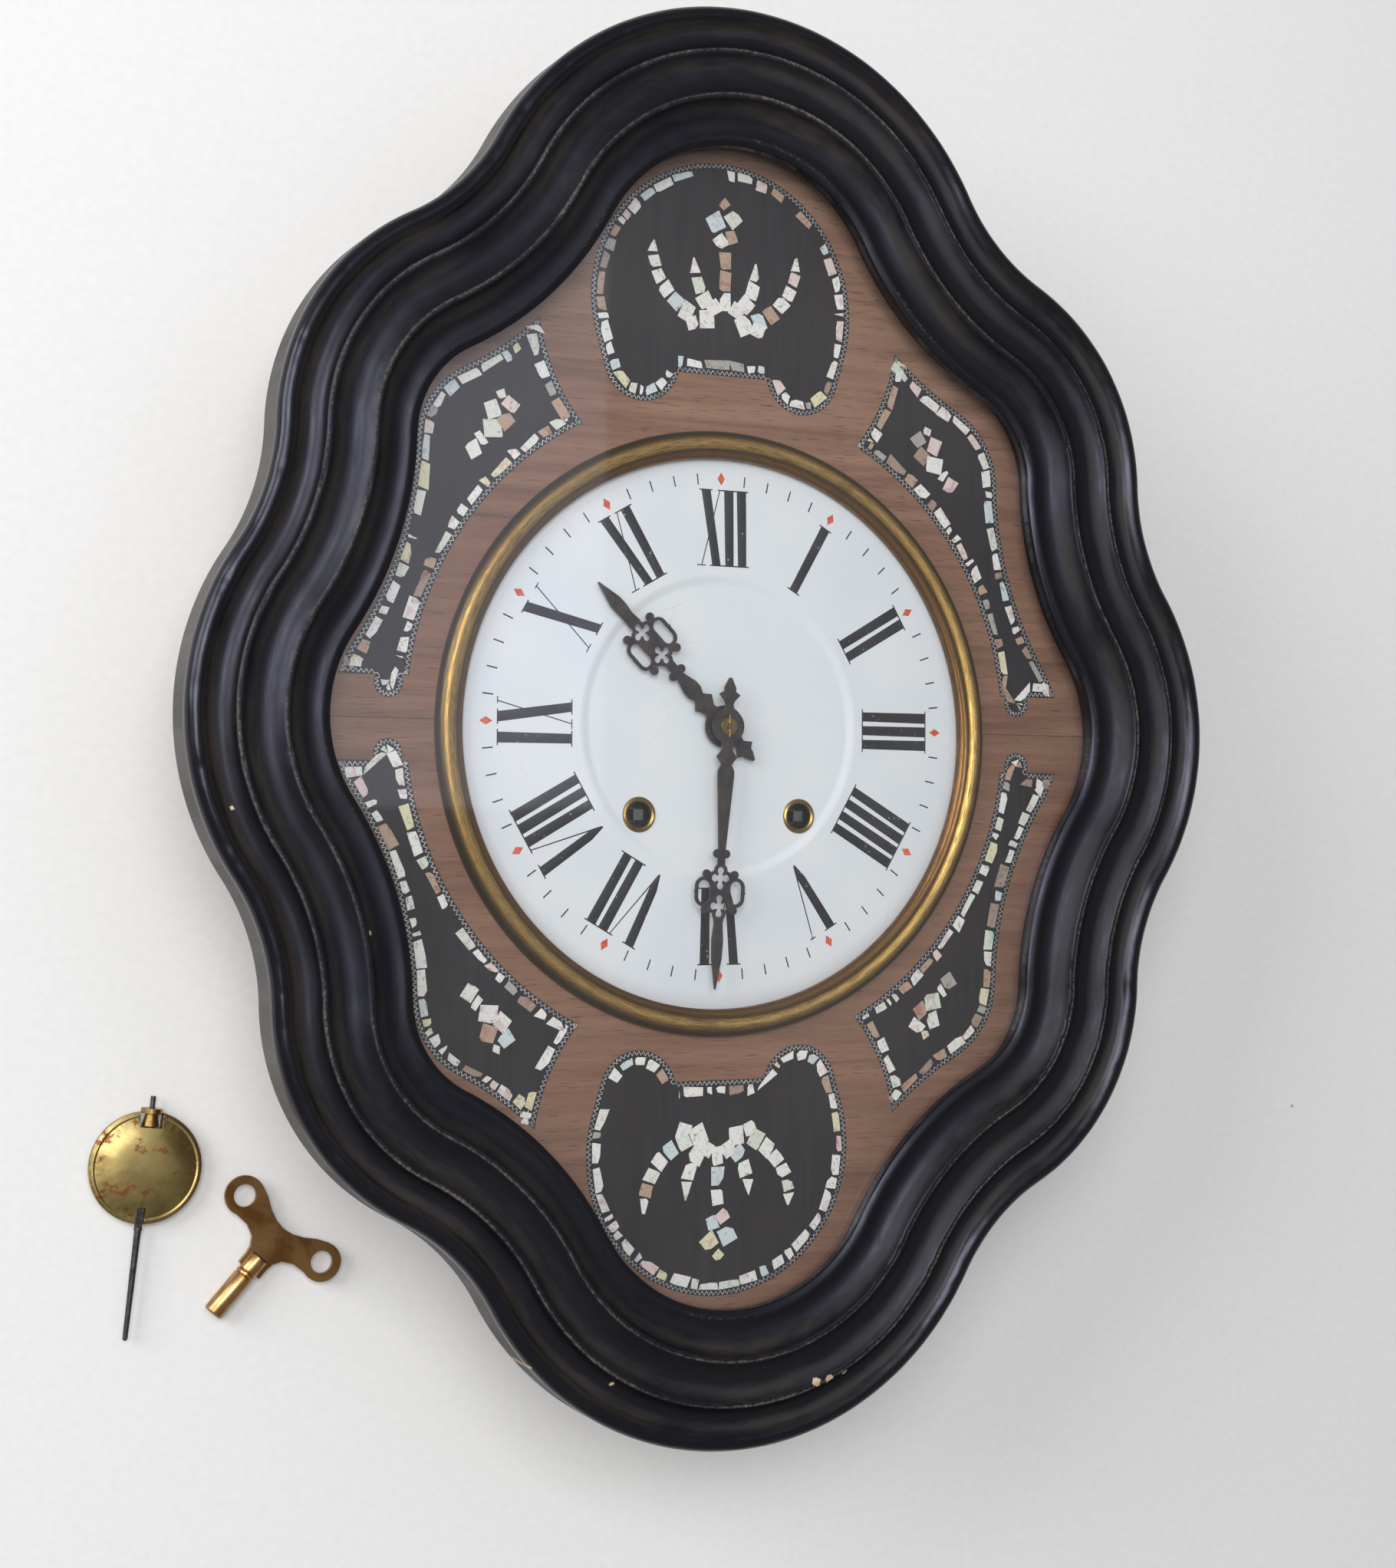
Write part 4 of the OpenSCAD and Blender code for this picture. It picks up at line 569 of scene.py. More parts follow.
def dome_outline():
    """Lower edge, right lobe, dome, left lobe: the lobes meet the dome where both circles cross."""
    apart = LOBE - DOME
    lean = heading((0, 0), apart) + math.degrees(math.acos((DOME_R - LOBE_R) / np.linalg.norm(apart)))
    low = 180 + math.degrees(math.asin((LOBE[1] - DOME_FOOT) / LOBE_R))
    right_half = np.concatenate([arc(LOBE, LOBE_R, low, 360 + lean, 60), arc(DOME, DOME_R, lean, 90, 60)[1:]])
    return np.concatenate([right_half, right_half[-2::-1] * (-1, 1)])


def side_outline():
    """Along the front's outline, round the gap beside the dome, back along the dial, and round the tab."""
    outer = (edge - outward * FRONT_GAP)[: len(edge) // 4]
    outer = outer[(outer[:, 1] > TAB_Y) & (np.linalg.norm(outer - DOME, axis=1) > GAP_R)]
    y = (DIAL_GAP_R**2 - GAP_R**2 + DOME[1] ** 2) / (2 * DOME[1])
    tip = np.array([math.sqrt(DIAL_GAP_R**2 - y * y), y])
    gap = arc(DOME, GAP_R, heading(DOME, outer[-1]), heading(DOME, tip), 40)
    foot = math.degrees(math.asin(TAB_Y / DIAL_GAP_R))
    dial_side = arc((0, 0), DIAL_GAP_R, heading((0, 0), tip), foot, 80)
    return np.concatenate([outer, gap, dial_side[1:], arc(TAB, TAB_R, 152.6, 387.4, 30)])


outlines = []
for sx, sy in MIRRORS:
    line = side_outline() * (sx, sy)
    outlines.append(line if sx * sy > 0 else line[::-1])
for sy in (1, -1):
    line = dome_outline() * (1, sy)
    outlines.append(line if sy > 0 else line[::-1])
print([len(o) for o in outlines], "points in the plaques' outlines")

# %% [markdown]
# The plaques were dyed to look like ebony and have faded to a dark grey. Fine
# streaks run along the grain, and slow brown clouds lie over them.

# %% Dyed plaques
ebony, put, skin, spot = finish("dyed pearwood, worn polish", IOR=1.45)
grain = put("VectorMath", [spot, (420.0, 24.0, 24.0)], operation="MULTIPLY")
fibres = put("TexNoise", {"Vector": grain, "Scale": 1.0, "Detail": 6.0, "Roughness": 0.65})
cloud = put("TexNoise", {"Vector": spot, "Scale": 30.0, "Detail": 4.0})
tint = put("ValToRGB", [fibres], stops=[(0.3, "#171519"), (0.7, "#28242a")])
patchy = put("MapRange", [cloud, 0.45, 0.7])
tint = put("Mix", {"Factor": patchy, 6: tint, 7: "#241e20"}, data_type="RGBA")
gloss = put("MapRange", [fibres, 0.0, 1.0, 0.3, 0.48])
bumps = put("Bump", {"Height": fibres, "Distance": 0.03 * MM, "Strength": 0.5})
plug(skin, {"Base Color": tint, "Roughness": gloss, "Normal": bumps})


def slabs(lines, low, high):
    """One slab for each outline: its points at low and at high, a wall between them, and a face above and below."""
    points, faces, start = [], [], 0
    for line in lines:
        n = len(line)
        points += [np.c_[line, np.full(n, low)], np.c_[line, np.full(n, high)]]
        faces += weave(2, n, False, True, start)[:, ::-1].tolist()
        faces += [list(range(start + n, start + 2 * n)), list(range(start + n - 1, start - 1, -1))]
        start += 2 * n
    return np.concatenate(points), faces


inset = [line - normal * 0.03 for line, normal in (even(o, 1.0) for o in outlines)]
points, faces = slabs(inset, GROUND_Z - 1.15, GROUND_Z)
plaques = build("dyed_plaques", points, faces, "case", ebony)
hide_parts("ebony_plaques")

# %% [markdown]
# ## Zigzag stringing
#
# A wavy silver-coloured wire is let in along each plaque's edge. Its waves
# are 2.2 mm long and 1.7 mm high. The line runs at a changing distance from
# the outline, and a ribbon 0.4 mm wide is carried along it.

# %% Zigzag stringing


def oxidised(name, metallic, noise, stops, low, high, height=0.0):
    """Metal under an uneven film: one noise gives its colour, its roughness from low to high, and its relief."""
    made, put, skin, spot = finish(name, Metallic=metallic)
    film = put("TexNoise", {"Vector": spot, **noise})
    tint = put("ValToRGB", [film], stops=stops)
    gloss = put("MapRange", [film, 0.0, 1.0, low, high])
    plug(skin, {"Base Color": tint, "Roughness": gloss})
    if height:
        plug(skin, {"Normal": put("Bump", {"Height": film, "Distance": height * MM, "Strength": 0.4})})
    return made


white_metal = oxidised(
    "drawn pewter wire, dulled", 0.6, {"Scale": 260.0, "Detail": 3.0},
    [(0.35, "#a9aeb0"), (0.65, "#e2e6e6")], 0.3, 0.6,
)


WAVE = 8  # points in each wave


def zigzag(line):
    """A closed ribbon on a line at 1.2 plus 0.78 times a wave inside the outline.

    The wave is a sine less a ninth of its third harmonic, which nears a triangle."""
    fine, normal = even(line, 0.28)
    n = len(fine) // WAVE * WAVE
    at, k = np.linspace(0, len(fine), n, endpoint=False), np.arange(len(fine) + 1)
    fine, normal = (
        np.stack([np.interp(at, k, np.r_[v[:, c], v[0, c]]) for c in (0, 1)], -1) for v in (fine, normal)
    )
    phase = np.arange(n) / WAVE * 2 * np.pi
    path = fine - normal * (1.2 + 0.78 * (np.sin(phase) - 0.11 * np.sin(3 * phase)))[:, None]
    way = np.roll(path, -1, 0) - np.roll(path, 1, 0)
    way /= np.linalg.norm(way, axis=1, keepdims=True)
    side = np.stack([way[:, 1], -way[:, 0]], -1) * 0.21
    low, high = GROUND_Z - 0.05, GROUND_Z + 0.05
    section = [(path + side, low), (path + side * 0.7, high), (path - side * 0.7, high), (path - side, low)]
    return np.stack([np.c_[p, np.full(n, z)] for p, z in section], 1)


wires = [zigzag(o) for o in outlines]
starts = np.cumsum([0] + [w.shape[0] * 4 for w in wires])
points = np.concatenate([w.reshape(-1, 3) for w in wires])
faces = np.concatenate([weave(len(w), 4, True, True, s) for w, s in zip(wires, starts)])
stringing = build("zigzag_stringing", points, faces, "case", white_metal)
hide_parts("metal_stringing")
print("stringing:", len(faces), "faces")

# %% [markdown]
# ## Nacre
#
# The chips are broken from mother-of-pearl shell and laid side by side, no
# two alike. A chip is a pentagon: four corners that follow the band, each
# moved a little at random, and one corner cut off. One number for each chip
# picks white, green, yellow, pink, brown, grey or blue shell. Its darker greys
# and browns also stand for chips that catch less light, a painted difference
# in glint, since the chips all lie flat.

# %% Chips along the bands
rng = np.random.default_rng(1860)
STEP = 0.5  # distance between points of the line that a band follows


def band_of_chips(line):
    """Quads between about 2 and 7 mm inside an outline, 3 to 12 mm long, with uneven gaps.

    s is how far along the outline a corner lies, and d how far inside it."""
    path, normal = even(line, STEP)
    total = len(path) * STEP
    guess = int(total / 7.0)
    cuts = np.cumsum(rng.choice([4.4, 6.6, 8.2, 10.0, 11.6], guess) + rng.uniform(-0.7, 0.7, guess))
    cuts = cuts[cuts < total - 1]
    first, last = np.r_[0, cuts], np.r_[cuts, total]
    n = len(first)
    gap = rng.choice([0.2, 0.35, 0.6, 1.1], n)
    s = np.stack([first + gap, last - gap, last - gap, first + gap], 1)
    s = s + rng.uniform(-1.0, 0.4, (n, 4)) * [-1, 1, 1, -1]
    depth, shallow = rng.choice([6.0, 6.8, 7.3], n), np.full(n, 2.4)
    d = np.stack([depth, depth, shallow, shallow], 1) + rng.uniform(-1.1, 0.4, (n, 4)) * [1, 1, -0.5, -0.5]
    keep = (last - first > 3.2) & (rng.random(n) > 0.06)
    s, d, k = s[keep] / STEP, d[keep], np.arange(len(path))
    along_, out_ = (
        np.stack([np.interp(s, k, v[:, c], period=len(path)) for c in (0, 1)], -1) for v in (path, normal)
    )
    return along_ - d[..., None] * out_


def cut_corner(quads):
    """Turns quads into pentagons: a corner chosen at random becomes two points a part of the way along its sides."""
    n = len(quads)
    turn = rng.integers(0, 4, n)
    order = (np.arange(4) + turn[:, None]) % 4
    q = np.take_along_axis(quads, order[..., None], 1)
    part = rng.uniform(0.05, 0.45, (n, 2, 1))
    a = q[:, :1] + (q[:, 3:] - q[:, :1]) * part[:, :1]
    b = q[:, :1] + (q[:, 1:2] - q[:, :1]) * part[:, 1:]
    return np.concatenate([a, b, q[:, 1:]], 1)


bands = np.concatenate([band_of_chips(o) for o in outlines])
area = np.cross(bands[:, 1] - bands[:, 0], bands[:, 2] - bands[:, 0])
bands[area < 0] = bands[area < 0][:, ::-1]
print(len(bands), "chips in the bands")

# %% [markdown]
# Inside the bands, chips form a palmette on each round plaque and a bud on
# each side one. They are listed with centre, size and turn; the branches
# follow a part of an ellipse, get smaller along it and end in a point.

# %% Palmettes and buds
BUD = [
    (-116, 113.5, 6, 6.5, 30), (-112.5, 118, 2.6, 6, 35), (-107.5, 122.8, 8, 7.5, 8), (-101.3, 126.5, 6.6, 6.4, 38),
    (-107.5, 131, 6.4, 7, 20), (-99.5, 133.5, 7, 5.6, -35), (-103.8, 137.5, 3.4, 3.2, 20),
]
CENTRE = [
    (1, 187, 5.6, 8, 3), (1, 196, 5.8, 8.4, -3), (1, 205, 5.6, 7, 2), (-1.6, 213.4, 6, 5.6, 35),
    (3.6, 216.0, 5, 5.6, 20), (-3.7, 221.7, 7.6, 7.2, 28), (4.6, 224, 7, 6.6, 38), (0.4, 230, 4.4, 4.2, 45),
    (-4.5, 184, 6.6, 6, 35), (-8, 178.6, 7.4, 8, 5), (-15, 176, 6, 6, 20), (6.5, 183.5, 6.6, 6.2, -30),
    (10, 177.5, 7.6, 8.4, 25), (17, 175.6, 6, 6.4, -20),
]


def branch(centre, half, start, end, widths):
    """Chips on an ellipse at even angles: centre plus the half-axes times cosine and sine.

    Each lies along the ellipse, and the last one tapers to a point."""
    a = np.radians(np.linspace(start, end, len(widths)))
    x, y = centre[0] + half[0] * np.cos(a), centre[1] + half[1] * np.sin(a)
    turn = np.degrees(np.arctan2(half[1] * np.cos(a), -half[0] * np.sin(a))) + (180 if end < start else 0)
    step = np.hypot(np.gradient(x), np.gradient(y)) * rng.uniform(0.78, 0.95, len(widths))
    taper = [0.0] * (len(widths) - 1) + [0.85]
    return list(zip(x, y, step, widths, turn, taper))


BUD, CENTRE = ([(*chip, 0.0) for chip in motif] for motif in (BUD, CENTRE))
for start, end in ((238, 180), (298, 358)):
    CENTRE += branch((1, 208), (35, 32), start, end, [7.8, 7.0, 6.4, 5.8, 5.2, 4.8])
for start, end in ((228, 188), (312, 352)):
    CENTRE += branch((1, 205), (15, 25), start, end, [7.0, 5.8, 5.0])


def loose_chips(listed, sx, sy):
    """Quads: each corner is half the size away from the centre along the turned axes.

    It is moved up to half a millimetre, and taper draws the far end's corners together."""
    x, y, w, h, turn, taper = np.array(listed, float).T[..., None]
    t = np.radians(turn)
    ax, ay = np.stack([np.cos(t), np.sin(t)], -1), np.stack([-np.sin(t), np.cos(t)], -1)
    across, up_ = np.array([-0.5, 0.5, 0.5, -0.5])[:, None], np.array([-0.5, -0.5, 0.5, 0.5])[:, None]
    drawn = 1 - taper[..., None] * [[0], [1], [1], [0]]
    q = np.stack([x, y], -1) + across * (ax * w[..., None]) + up_ * (ay * h[..., None]) * drawn
    q = (q + rng.uniform(-0.5, 0.5, q.shape)) * (sx, sy)
    return q if sx * sy > 0 else q[:, ::-1]


motifs = [loose_chips(CENTRE, 1, 1), loose_chips(CENTRE, -1, -1)] + [loose_chips(BUD, sx, sy) for sx, sy in MIRRORS]
quads = np.concatenate([bands, *motifs])
chips = cut_corner(quads)
shell_and_glint = rng.random(len(chips))
tops = GROUND_Z + 0.05 + rng.uniform(0, 0.06, len(chips))
points, faces = tiles(chips, GROUND_Z - 0.3, tops, 0.045)
print(len(chips), "chips in all")

# %% [markdown]
# Nacre is many thin layers, so its colour changes over a few millimetres and
# it shines softly from inside. A ramp gives each chip its base colour; one
# noise adds the play of pink and green, and another the brown growth lines.
# It is a little metallic, with a clear polish on top.

# %% Nacre
nacre, put, skin, spot = finish(
    "mother-of-pearl, polished", Metallic=0.12, Coat_Weight=0.35, Coat_Roughness=0.12, IOR=1.55,
)
pick = put("Attribute", attribute_name="shell_and_glint").outputs["Fac"]
# Partly real shell colours and partly painted glint: the darker chips stand for chips that would catch less light.
chip_colour_and_glint = put(
    "ValToRGB", [pick],
    stops=[
        (0.0, "#fbfbf7"), (0.38, "#f1f3ec"), (0.52, "#dfead9"), (0.6, "#e9e2b4"), (0.67, "#eed3cf"),
        (0.73, "#b0835c"), (0.83, "#9b9990"), (0.89, "#d2e4ea"), (0.96, "#8c6648"),
    ],
)
chip_colour_and_glint.color_ramp.interpolation = "CONSTANT"
shift = put("Math", [pick, 7.0], operation="MULTIPLY")
layers = put(
    "TexNoise", {"Vector": spot, "W": shift, "Scale": 210.0, "Detail": 3.0, "Distortion": 1.2}, noise_dimensions="4D",
)
play = put(
    "ValToRGB", [layers],
    stops=[(0.3, "#9fcdc8"), (0.4, "#f8f8f4"), (0.56, "#f1efe8"), (0.64, "#dca6bc"), (0.74, "#a5866a")],
)
tint = put("Mix", {"Factor": 0.4, 6: chip_colour_and_glint, 7: play}, data_type="RGBA", blend_type="MULTIPLY")
tint = put("Mix", {"Factor": 0.22, 6: tint, 7: play}, data_type="RGBA")
lines = put(
    "TexNoise", {"Vector": spot, "W": shift, "Scale": 330.0, "Detail": 2.0, "Distortion": 2.5}, noise_dimensions="4D",
)
lines = put("MapRange", [lines, 0.6, 0.72, 0.0, 0.75])
tint = put("Mix", {"Factor": lines, 6: tint, 7: "#6f5a48"}, data_type="RGBA")
gloss = put("MapRange", [layers, 0.0, 1.0, 0.18, 0.42])
bumps = put("Bump", {"Height": layers, "Distance": 0.05 * MM, "Strength": 0.35})
plug(skin, {"Base Color": tint, "Roughness": gloss, "Normal": bumps})
nacre_piece = build(
    "nacre_chips_laid", points, faces, "case", nacre, {"shell_and_glint": np.repeat(shell_and_glint, 15)}, sharp=30.0,
)
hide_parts("nacre_chips")

# %% [markdown]
# ## Bezel
#
# The bezel is a spun brass ring: a profile turned round an axis 3 mm below
# the dial's centre. Its crest has been rubbed bright by hands, and it is also
# painted lighter as a painted highlight. A narrow ring between the inner edge
# and the crest is painted dark as painted shade, while the outer side has kept
# a dark patina. One number, how far out a point lies, tells the finish which
# is which.

# %% Bezel


def lathe(profile, centre, count):
    """A ring or bowl: each (radius, height) of the profile goes round the centre at count angles."""
    a = np.linspace(0, 2 * np.pi, count, endpoint=False)[:, None]
    r, z = np.asarray(profile, float).T
    return np.stack([centre[0] + r * np.cos(a), centre[1] + r * np.sin(a), np.broadcast_to(z, (count, len(z)))], -1)


ring_profile = np.concatenate(
    [
        [[128.4, 97.02], [132.1, 97.02], [132.3, 97.2], [132.3, 98.2]],
        arc((127.7, 98.2), 4.6, 0, 105, 16)[1:],
        [
            [125.6, 102.4], [124.4, 101.9], [124.0, 101.3], [123.8, 100.85], [123.3, 100.75], [123.0, 100.3],
            [122.7, 100.1], [122.0, 100.0], [121.5, 99.9], [120.9, 99.5], [120.4, 98.8], [120.3, 98.0], [120.3, 96.4],
            [121.3, 96.2], [122.4, 96.2], [122.4, 97.02],
        ],
    ]
)
points = lathe(ring_profile, (0.0, -3.0), 512)
out = np.broadcast_to(ring_profile[:, 0], points.shape[:2]).ravel()
old_brass, put, skin, spot = finish("spun brass, lacquer worn off", Metallic=1.0)
where = put("Attribute", attribute_name="out").outputs["Fac"]
rays = put("VectorMath", [spot, (0.0, 0.003, 0.0)], operation="ADD")
polar = put("SeparateXYZ", [rays]).outputs
turn_angle = put("Math", [polar["Y"], polar["X"]], operation="ARCTAN2")
turned = put("CombineXYZ", [turn_angle, where, 0.0])
turned = put("VectorMath", [turned, (14.0, 3.2, 1.0)], operation="MULTIPLY")
streak = put("TexNoise", {"Vector": turned, "Scale": 1.0, "Detail": 6.0, "Roughness": 0.7})
blot = put("TexNoise", {"Vector": spot, "Scale": 60.0, "Detail": 4.0})
# Colour by radius, partly wear and partly painted light: the bright crest is a painted highlight over rubbed brass, and
# the narrow dark ring between the inner edge and the crest is painted shade.
radial_wear_and_painted_light = put("MapRange", [where, 120.0, 133.0])
radial_wear_and_painted_light = put(
    "ValToRGB", [radial_wear_and_painted_light],
    stops=[
        (0.0, "#7d5636"), (0.22, "#8e6636"), (0.3, "#4a3a26"), (0.36, "#d3a24c"), (0.5, "#f3cd80"), (0.62, "#d0a254"),
        (0.76, "#74613c"), (1.0, "#494230"),
    ],
)
tarnish = put("MapRange", [streak, 0.44, 0.6, 0.0, 0.85])
tint = put("Mix", {"Factor": tarnish, 6: radial_wear_and_painted_light, 7: "#5b4a2c"}, data_type="RGBA")
brown = put("MapRange", [blot, 0.55, 0.7, 0.0, 0.45])
tint = put("Mix", {"Factor": brown, 6: tint, 7: "#6d4a30"}, data_type="RGBA")
gloss = put("MapRange", [streak, 0.35, 0.65, 0.26, 0.52])
bumps = put("Bump", {"Height": streak, "Distance": 0.04 * MM, "Strength": 0.5})
plug(skin, {"Base Color": tint, "Roughness": gloss, "Normal": bumps})
bezel = build(
    "spun_bezel", points, weave(*points.shape[:2], True, True), "case", old_brass, {"out": out},
    sharp=40.0,
)
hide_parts("bezel")

# %% [markdown]
# ## Dial
#
# White enamel on copper: the middle is flat and a step lower, and the chapter
# ring round it is gently domed. The profile is turned as the bezel's is and
# leaves a hole for the hands, and two more are drilled for the winding squares.

# %% Dial
DIAL_Z = 95.9  # height of the flat middle
WINDING_AT = 38.8  # how far beside and below the centre the winding holes are
HOLE_R = 6.3  # radius of a winding hole


def dial_top(r):
    """Height of the enamel: flat up to 62 mm, a soft step up, then 97.6 less 0.000177 times the radius squared."""
    dome = DIAL_Z + 1.7 - 0.000177 * r * r
    t = np.clip((r - 62.0) / 5.0, 0, 1)
    return DIAL_Z + (dome - DIAL_Z) * t * t * (3 - 2 * t)


radii = np.r_[np.linspace(6.6, 60, 14), np.linspace(61, 69, 17), np.linspace(71, 122, 22), [123.5, 124.5]]
rim = [[125.0, dial_top(124.6) - 0.12], [125.2, dial_top(125.0) - 0.6], [125.0, dial_top(125.0) - 1.15]]
under = [
    [124, dial_top(124) - 1.2], [95, dial_top(95) - 1.2], [68, dial_top(68) - 1.2], [60, DIAL_Z - 1.2],
    [6.3, DIAL_Z - 1.2], [6.0, DIAL_Z - 0.9], [6.0, DIAL_Z - 0.3], [6.25, DIAL_Z - 0.06],
]
dial_profile = np.concatenate([np.c_[radii, dial_top(radii)], rim, under])[::-1]
points = lathe(dial_profile, (0.0, 0.0), 256)
enamel, put, skin, spot = finish(
    "white vitreous enamel on copper", Roughness=0.16, IOR=1.5, Coat_Weight=0.2, Coat_Roughness=0.05,
)
milk = put("TexNoise", {"Vector": spot, "Scale": 22.0, "Detail": 3.0})
tint = put("ValToRGB", [milk], stops=[(0.3, "#dfe6ec"), (0.7, "#e8ecee")])
flatness = put("VectorMath", [spot, (1.0, 1.0, 0.0)], operation="MULTIPLY")
far = put("VectorMath", [flatness], operation="LENGTH")
# The enamel's rim beside and under the bezel is painted greyer: painted shade from the overhanging bezel.
rim_painted_shade = put("MapRange", [far, 0.116, 0.125, 0.0, 0.5])
tint = put("Mix", {"Factor": rim_painted_shade, 6: tint, 7: "#b9b2b0"}, data_type="RGBA")
hair = put("TexVoronoi", {"Vector": spot, "Scale": 34.0}, feature="DISTANCE_TO_EDGE")
hair = put("Math", [hair, 0.006], operation="LESS_THAN")
crazed = put("MapRange", [milk, 0.6, 0.66, 0.0, 0.16])
hair = put("Math", [hair, crazed], operation="MULTIPLY")
tint = put("Mix", {"Factor": hair, 6: tint, 7: "#8e8a84"}, data_type="RGBA")
ripple = put("TexNoise", {"Vector": spot, "Scale": 120.0, "Detail": 2.0})
bumps = put("Bump", {"Height": ripple, "Distance": 0.02 * MM, "Strength": 0.4})
plug(skin, {"Base Color": tint, "Normal": bumps})
dial = build("enamel_dial", points, weave(*points.shape[:2], True, True), "case", enamel, sharp=40.0)
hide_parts("dial")
drills = np.stack([lathe([[HOLE_R, 90.0], [HOLE_R, 100.0]], (x, -WINDING_AT), 64) for x in (-WINDING_AT, WINDING_AT)])
around = np.arange(64)
drill = weave(64, 2, True, False).tolist() + [(2 * around + 1).tolist(), (2 * around[::-1]).tolist()]
carve(dial, drills, drill + [[i + 128 for i in f] for f in drill])

# %% [markdown]
# ## Numerals
#
# Roman numerals are painted radially, with their feet towards the middle. A
# numeral is a row of strokes: thick ones 4.5 mm wide, hairlines of 0.5 mm and
# serifs. A stroke is a thin ribbon between two points with a width at each
# end. It is cut across into short steps so that it follows the domed enamel.

# %% Strokes of the numerals
LOW, HIGH = 70.5, 104.0  # how far from the centre the strokes start and end
STRIDE = {"I": 6.2, "V": 14.4, "X": 13.6}  # from one letter to the next
FOOT, HEAD = LOW + 0.1, HIGH - 0.1  # where serifs lie


def letter(c, lean):
    """The strokes of a letter: each has two ends and a width at each.

    An X's thick stroke leans by lean to each side."""
    if c == "I":
        return [(2.3, LOW, 2.3, HIGH, 4.3, 4.8), (-1.1, FOOT, 5.7, FOOT, 0.6, 0.6), (-1.1, HEAD, 5.7, HEAD, 0.6, 0.6)]
    if c == "V":
        thick = [(5.5, LOW, 5.0, LOW + 7, 0.6, 4.0), (5.0, LOW + 7, 2.5, HIGH, 4.0, 4.6)]
        thin = [(5.8, LOW + 0.4, 13.0, HIGH, 0.6, 0.5)]
        return thick + thin + [(-0.9, HEAD, 5.9, HEAD, 0.6, 0.6), (11.4, HEAD, 14.2, HEAD, 0.6, 0.6)]
    top, foot, slim = 7.2 - lean, 7.2 + lean, 10.6 + 0.4 * lean
    return [
        (foot, LOW, top, HIGH, 4.2, 4.6), (2.4, LOW, slim, HIGH, 0.5, 0.5),
        (top - 3.2, HEAD, top + 3.2, HEAD, 0.6, 0.6), (slim - 1.2, HEAD, slim + 1.8, HEAD, 0.5, 0.5),
        (0.2, FOOT, 4.4, FOOT, 0.5, 0.5), (foot - 3.2, FOOT, foot + 3.2, FOOT, 0.6, 0.6),
    ]


strokes = []
for hour, text in enumerate("XII I II III IIII V VI VII VIII IX X XI".split()):
    x = -(sum(STRIDE[c] for c in text) - 1.5) / 2
    for c in text:
        lines = letter(c, 4.9 if text == "X" else 2.4)
        strokes += [(hour, x + x0, y0, x + x1, y1, w0, w1) for x0, y0, x1, y1, w0, w1 in lines]
        x += STRIDE[c]
for minute in range(60):
    if minute % 5:
        strokes.append((minute / 5, 0.0, 106.4, 0.0, 111.2, 0.65, 0.65))
print(len(strokes), "painted strokes")


STEPS = 13  # points along a stroke


def painted(strokes, lift=0.03):
    """Ribbons on the enamel: points run from end to end and across, turn with their hour and drop onto the dome.

    A long stroke's width is measured level, so that its ends are cut level too."""
    hour, x0, y0, x1, y1, w0, w1 = (np.array([s[k] for s in strokes], float)[:, None, None] for k in range(7))
    t = np.linspace(0, 1, STEPS)[None, :, None]
    e = np.array([-0.5, -0.46, 0.46, 0.5])[None, None, :]
    length = np.hypot(x1 - x0, y1 - y0)
    px, py = -(y1 - y0) / length, (x1 - x0) / length
    w = w0 + (w1 - w0) * t
    upright = np.abs(y1 - y0) > 5
    ox = np.where(upright, -1.0, px)
    oy = np.where(upright, 0.0, py)
    stretch = np.where(upright, length / np.maximum(np.abs(y1 - y0), 1e-6), 1.0)
    x = x0 + (x1 - x0) * t + ox * w * e * stretch
    y = y0 + (y1 - y0) * t + oy * w * e * stretch
    a = np.radians(hour * 30)
    gx, gy = x * np.cos(a) + y * np.sin(a), -x * np.sin(a) + y * np.cos(a)
    z = dial_top(np.hypot(gx, gy)) + np.where(np.abs(e) > 0.48, -0.03, lift)
    return np.stack([gx, gy, z], -1)


# Nearly black, a little faded in places, with pinholes where it flaked off.
black_paint, put, skin, spot = finish("black ceramic paint, fired and flaked", Roughness=0.32, IOR=1.5)
flake = put("TexNoise", {"Vector": spot, "Scale": 420.0, "Detail": 5.0, "Roughness": 0.75})
flake = put("MapRange", [flake, 0.655, 0.67])
fade = put("TexNoise", {"Vector": spot, "Scale": 45.0, "Detail": 2.0})
tint = put("ValToRGB", [fade], stops=[(0.35, "#222127"), (0.65, "#323238")])
tint = put("Mix", {"Factor": flake, 6: tint, 7: "#b9bfc4"}, data_type="RGBA")
plug(skin, {"Base Color": tint})
points = painted(strokes)
faces = np.concatenate([weave(STEPS, 4, False, False, STEPS * 4 * k) for k in range(len(strokes))])
numerals = build("painted_numerals", points, faces, "case", black_paint, sharp=80.0)

# %% [markdown]
# A small red lozenge marks each hour outside the numerals. Four points and a
# slightly raised middle give it the swell of a drop of enamel.

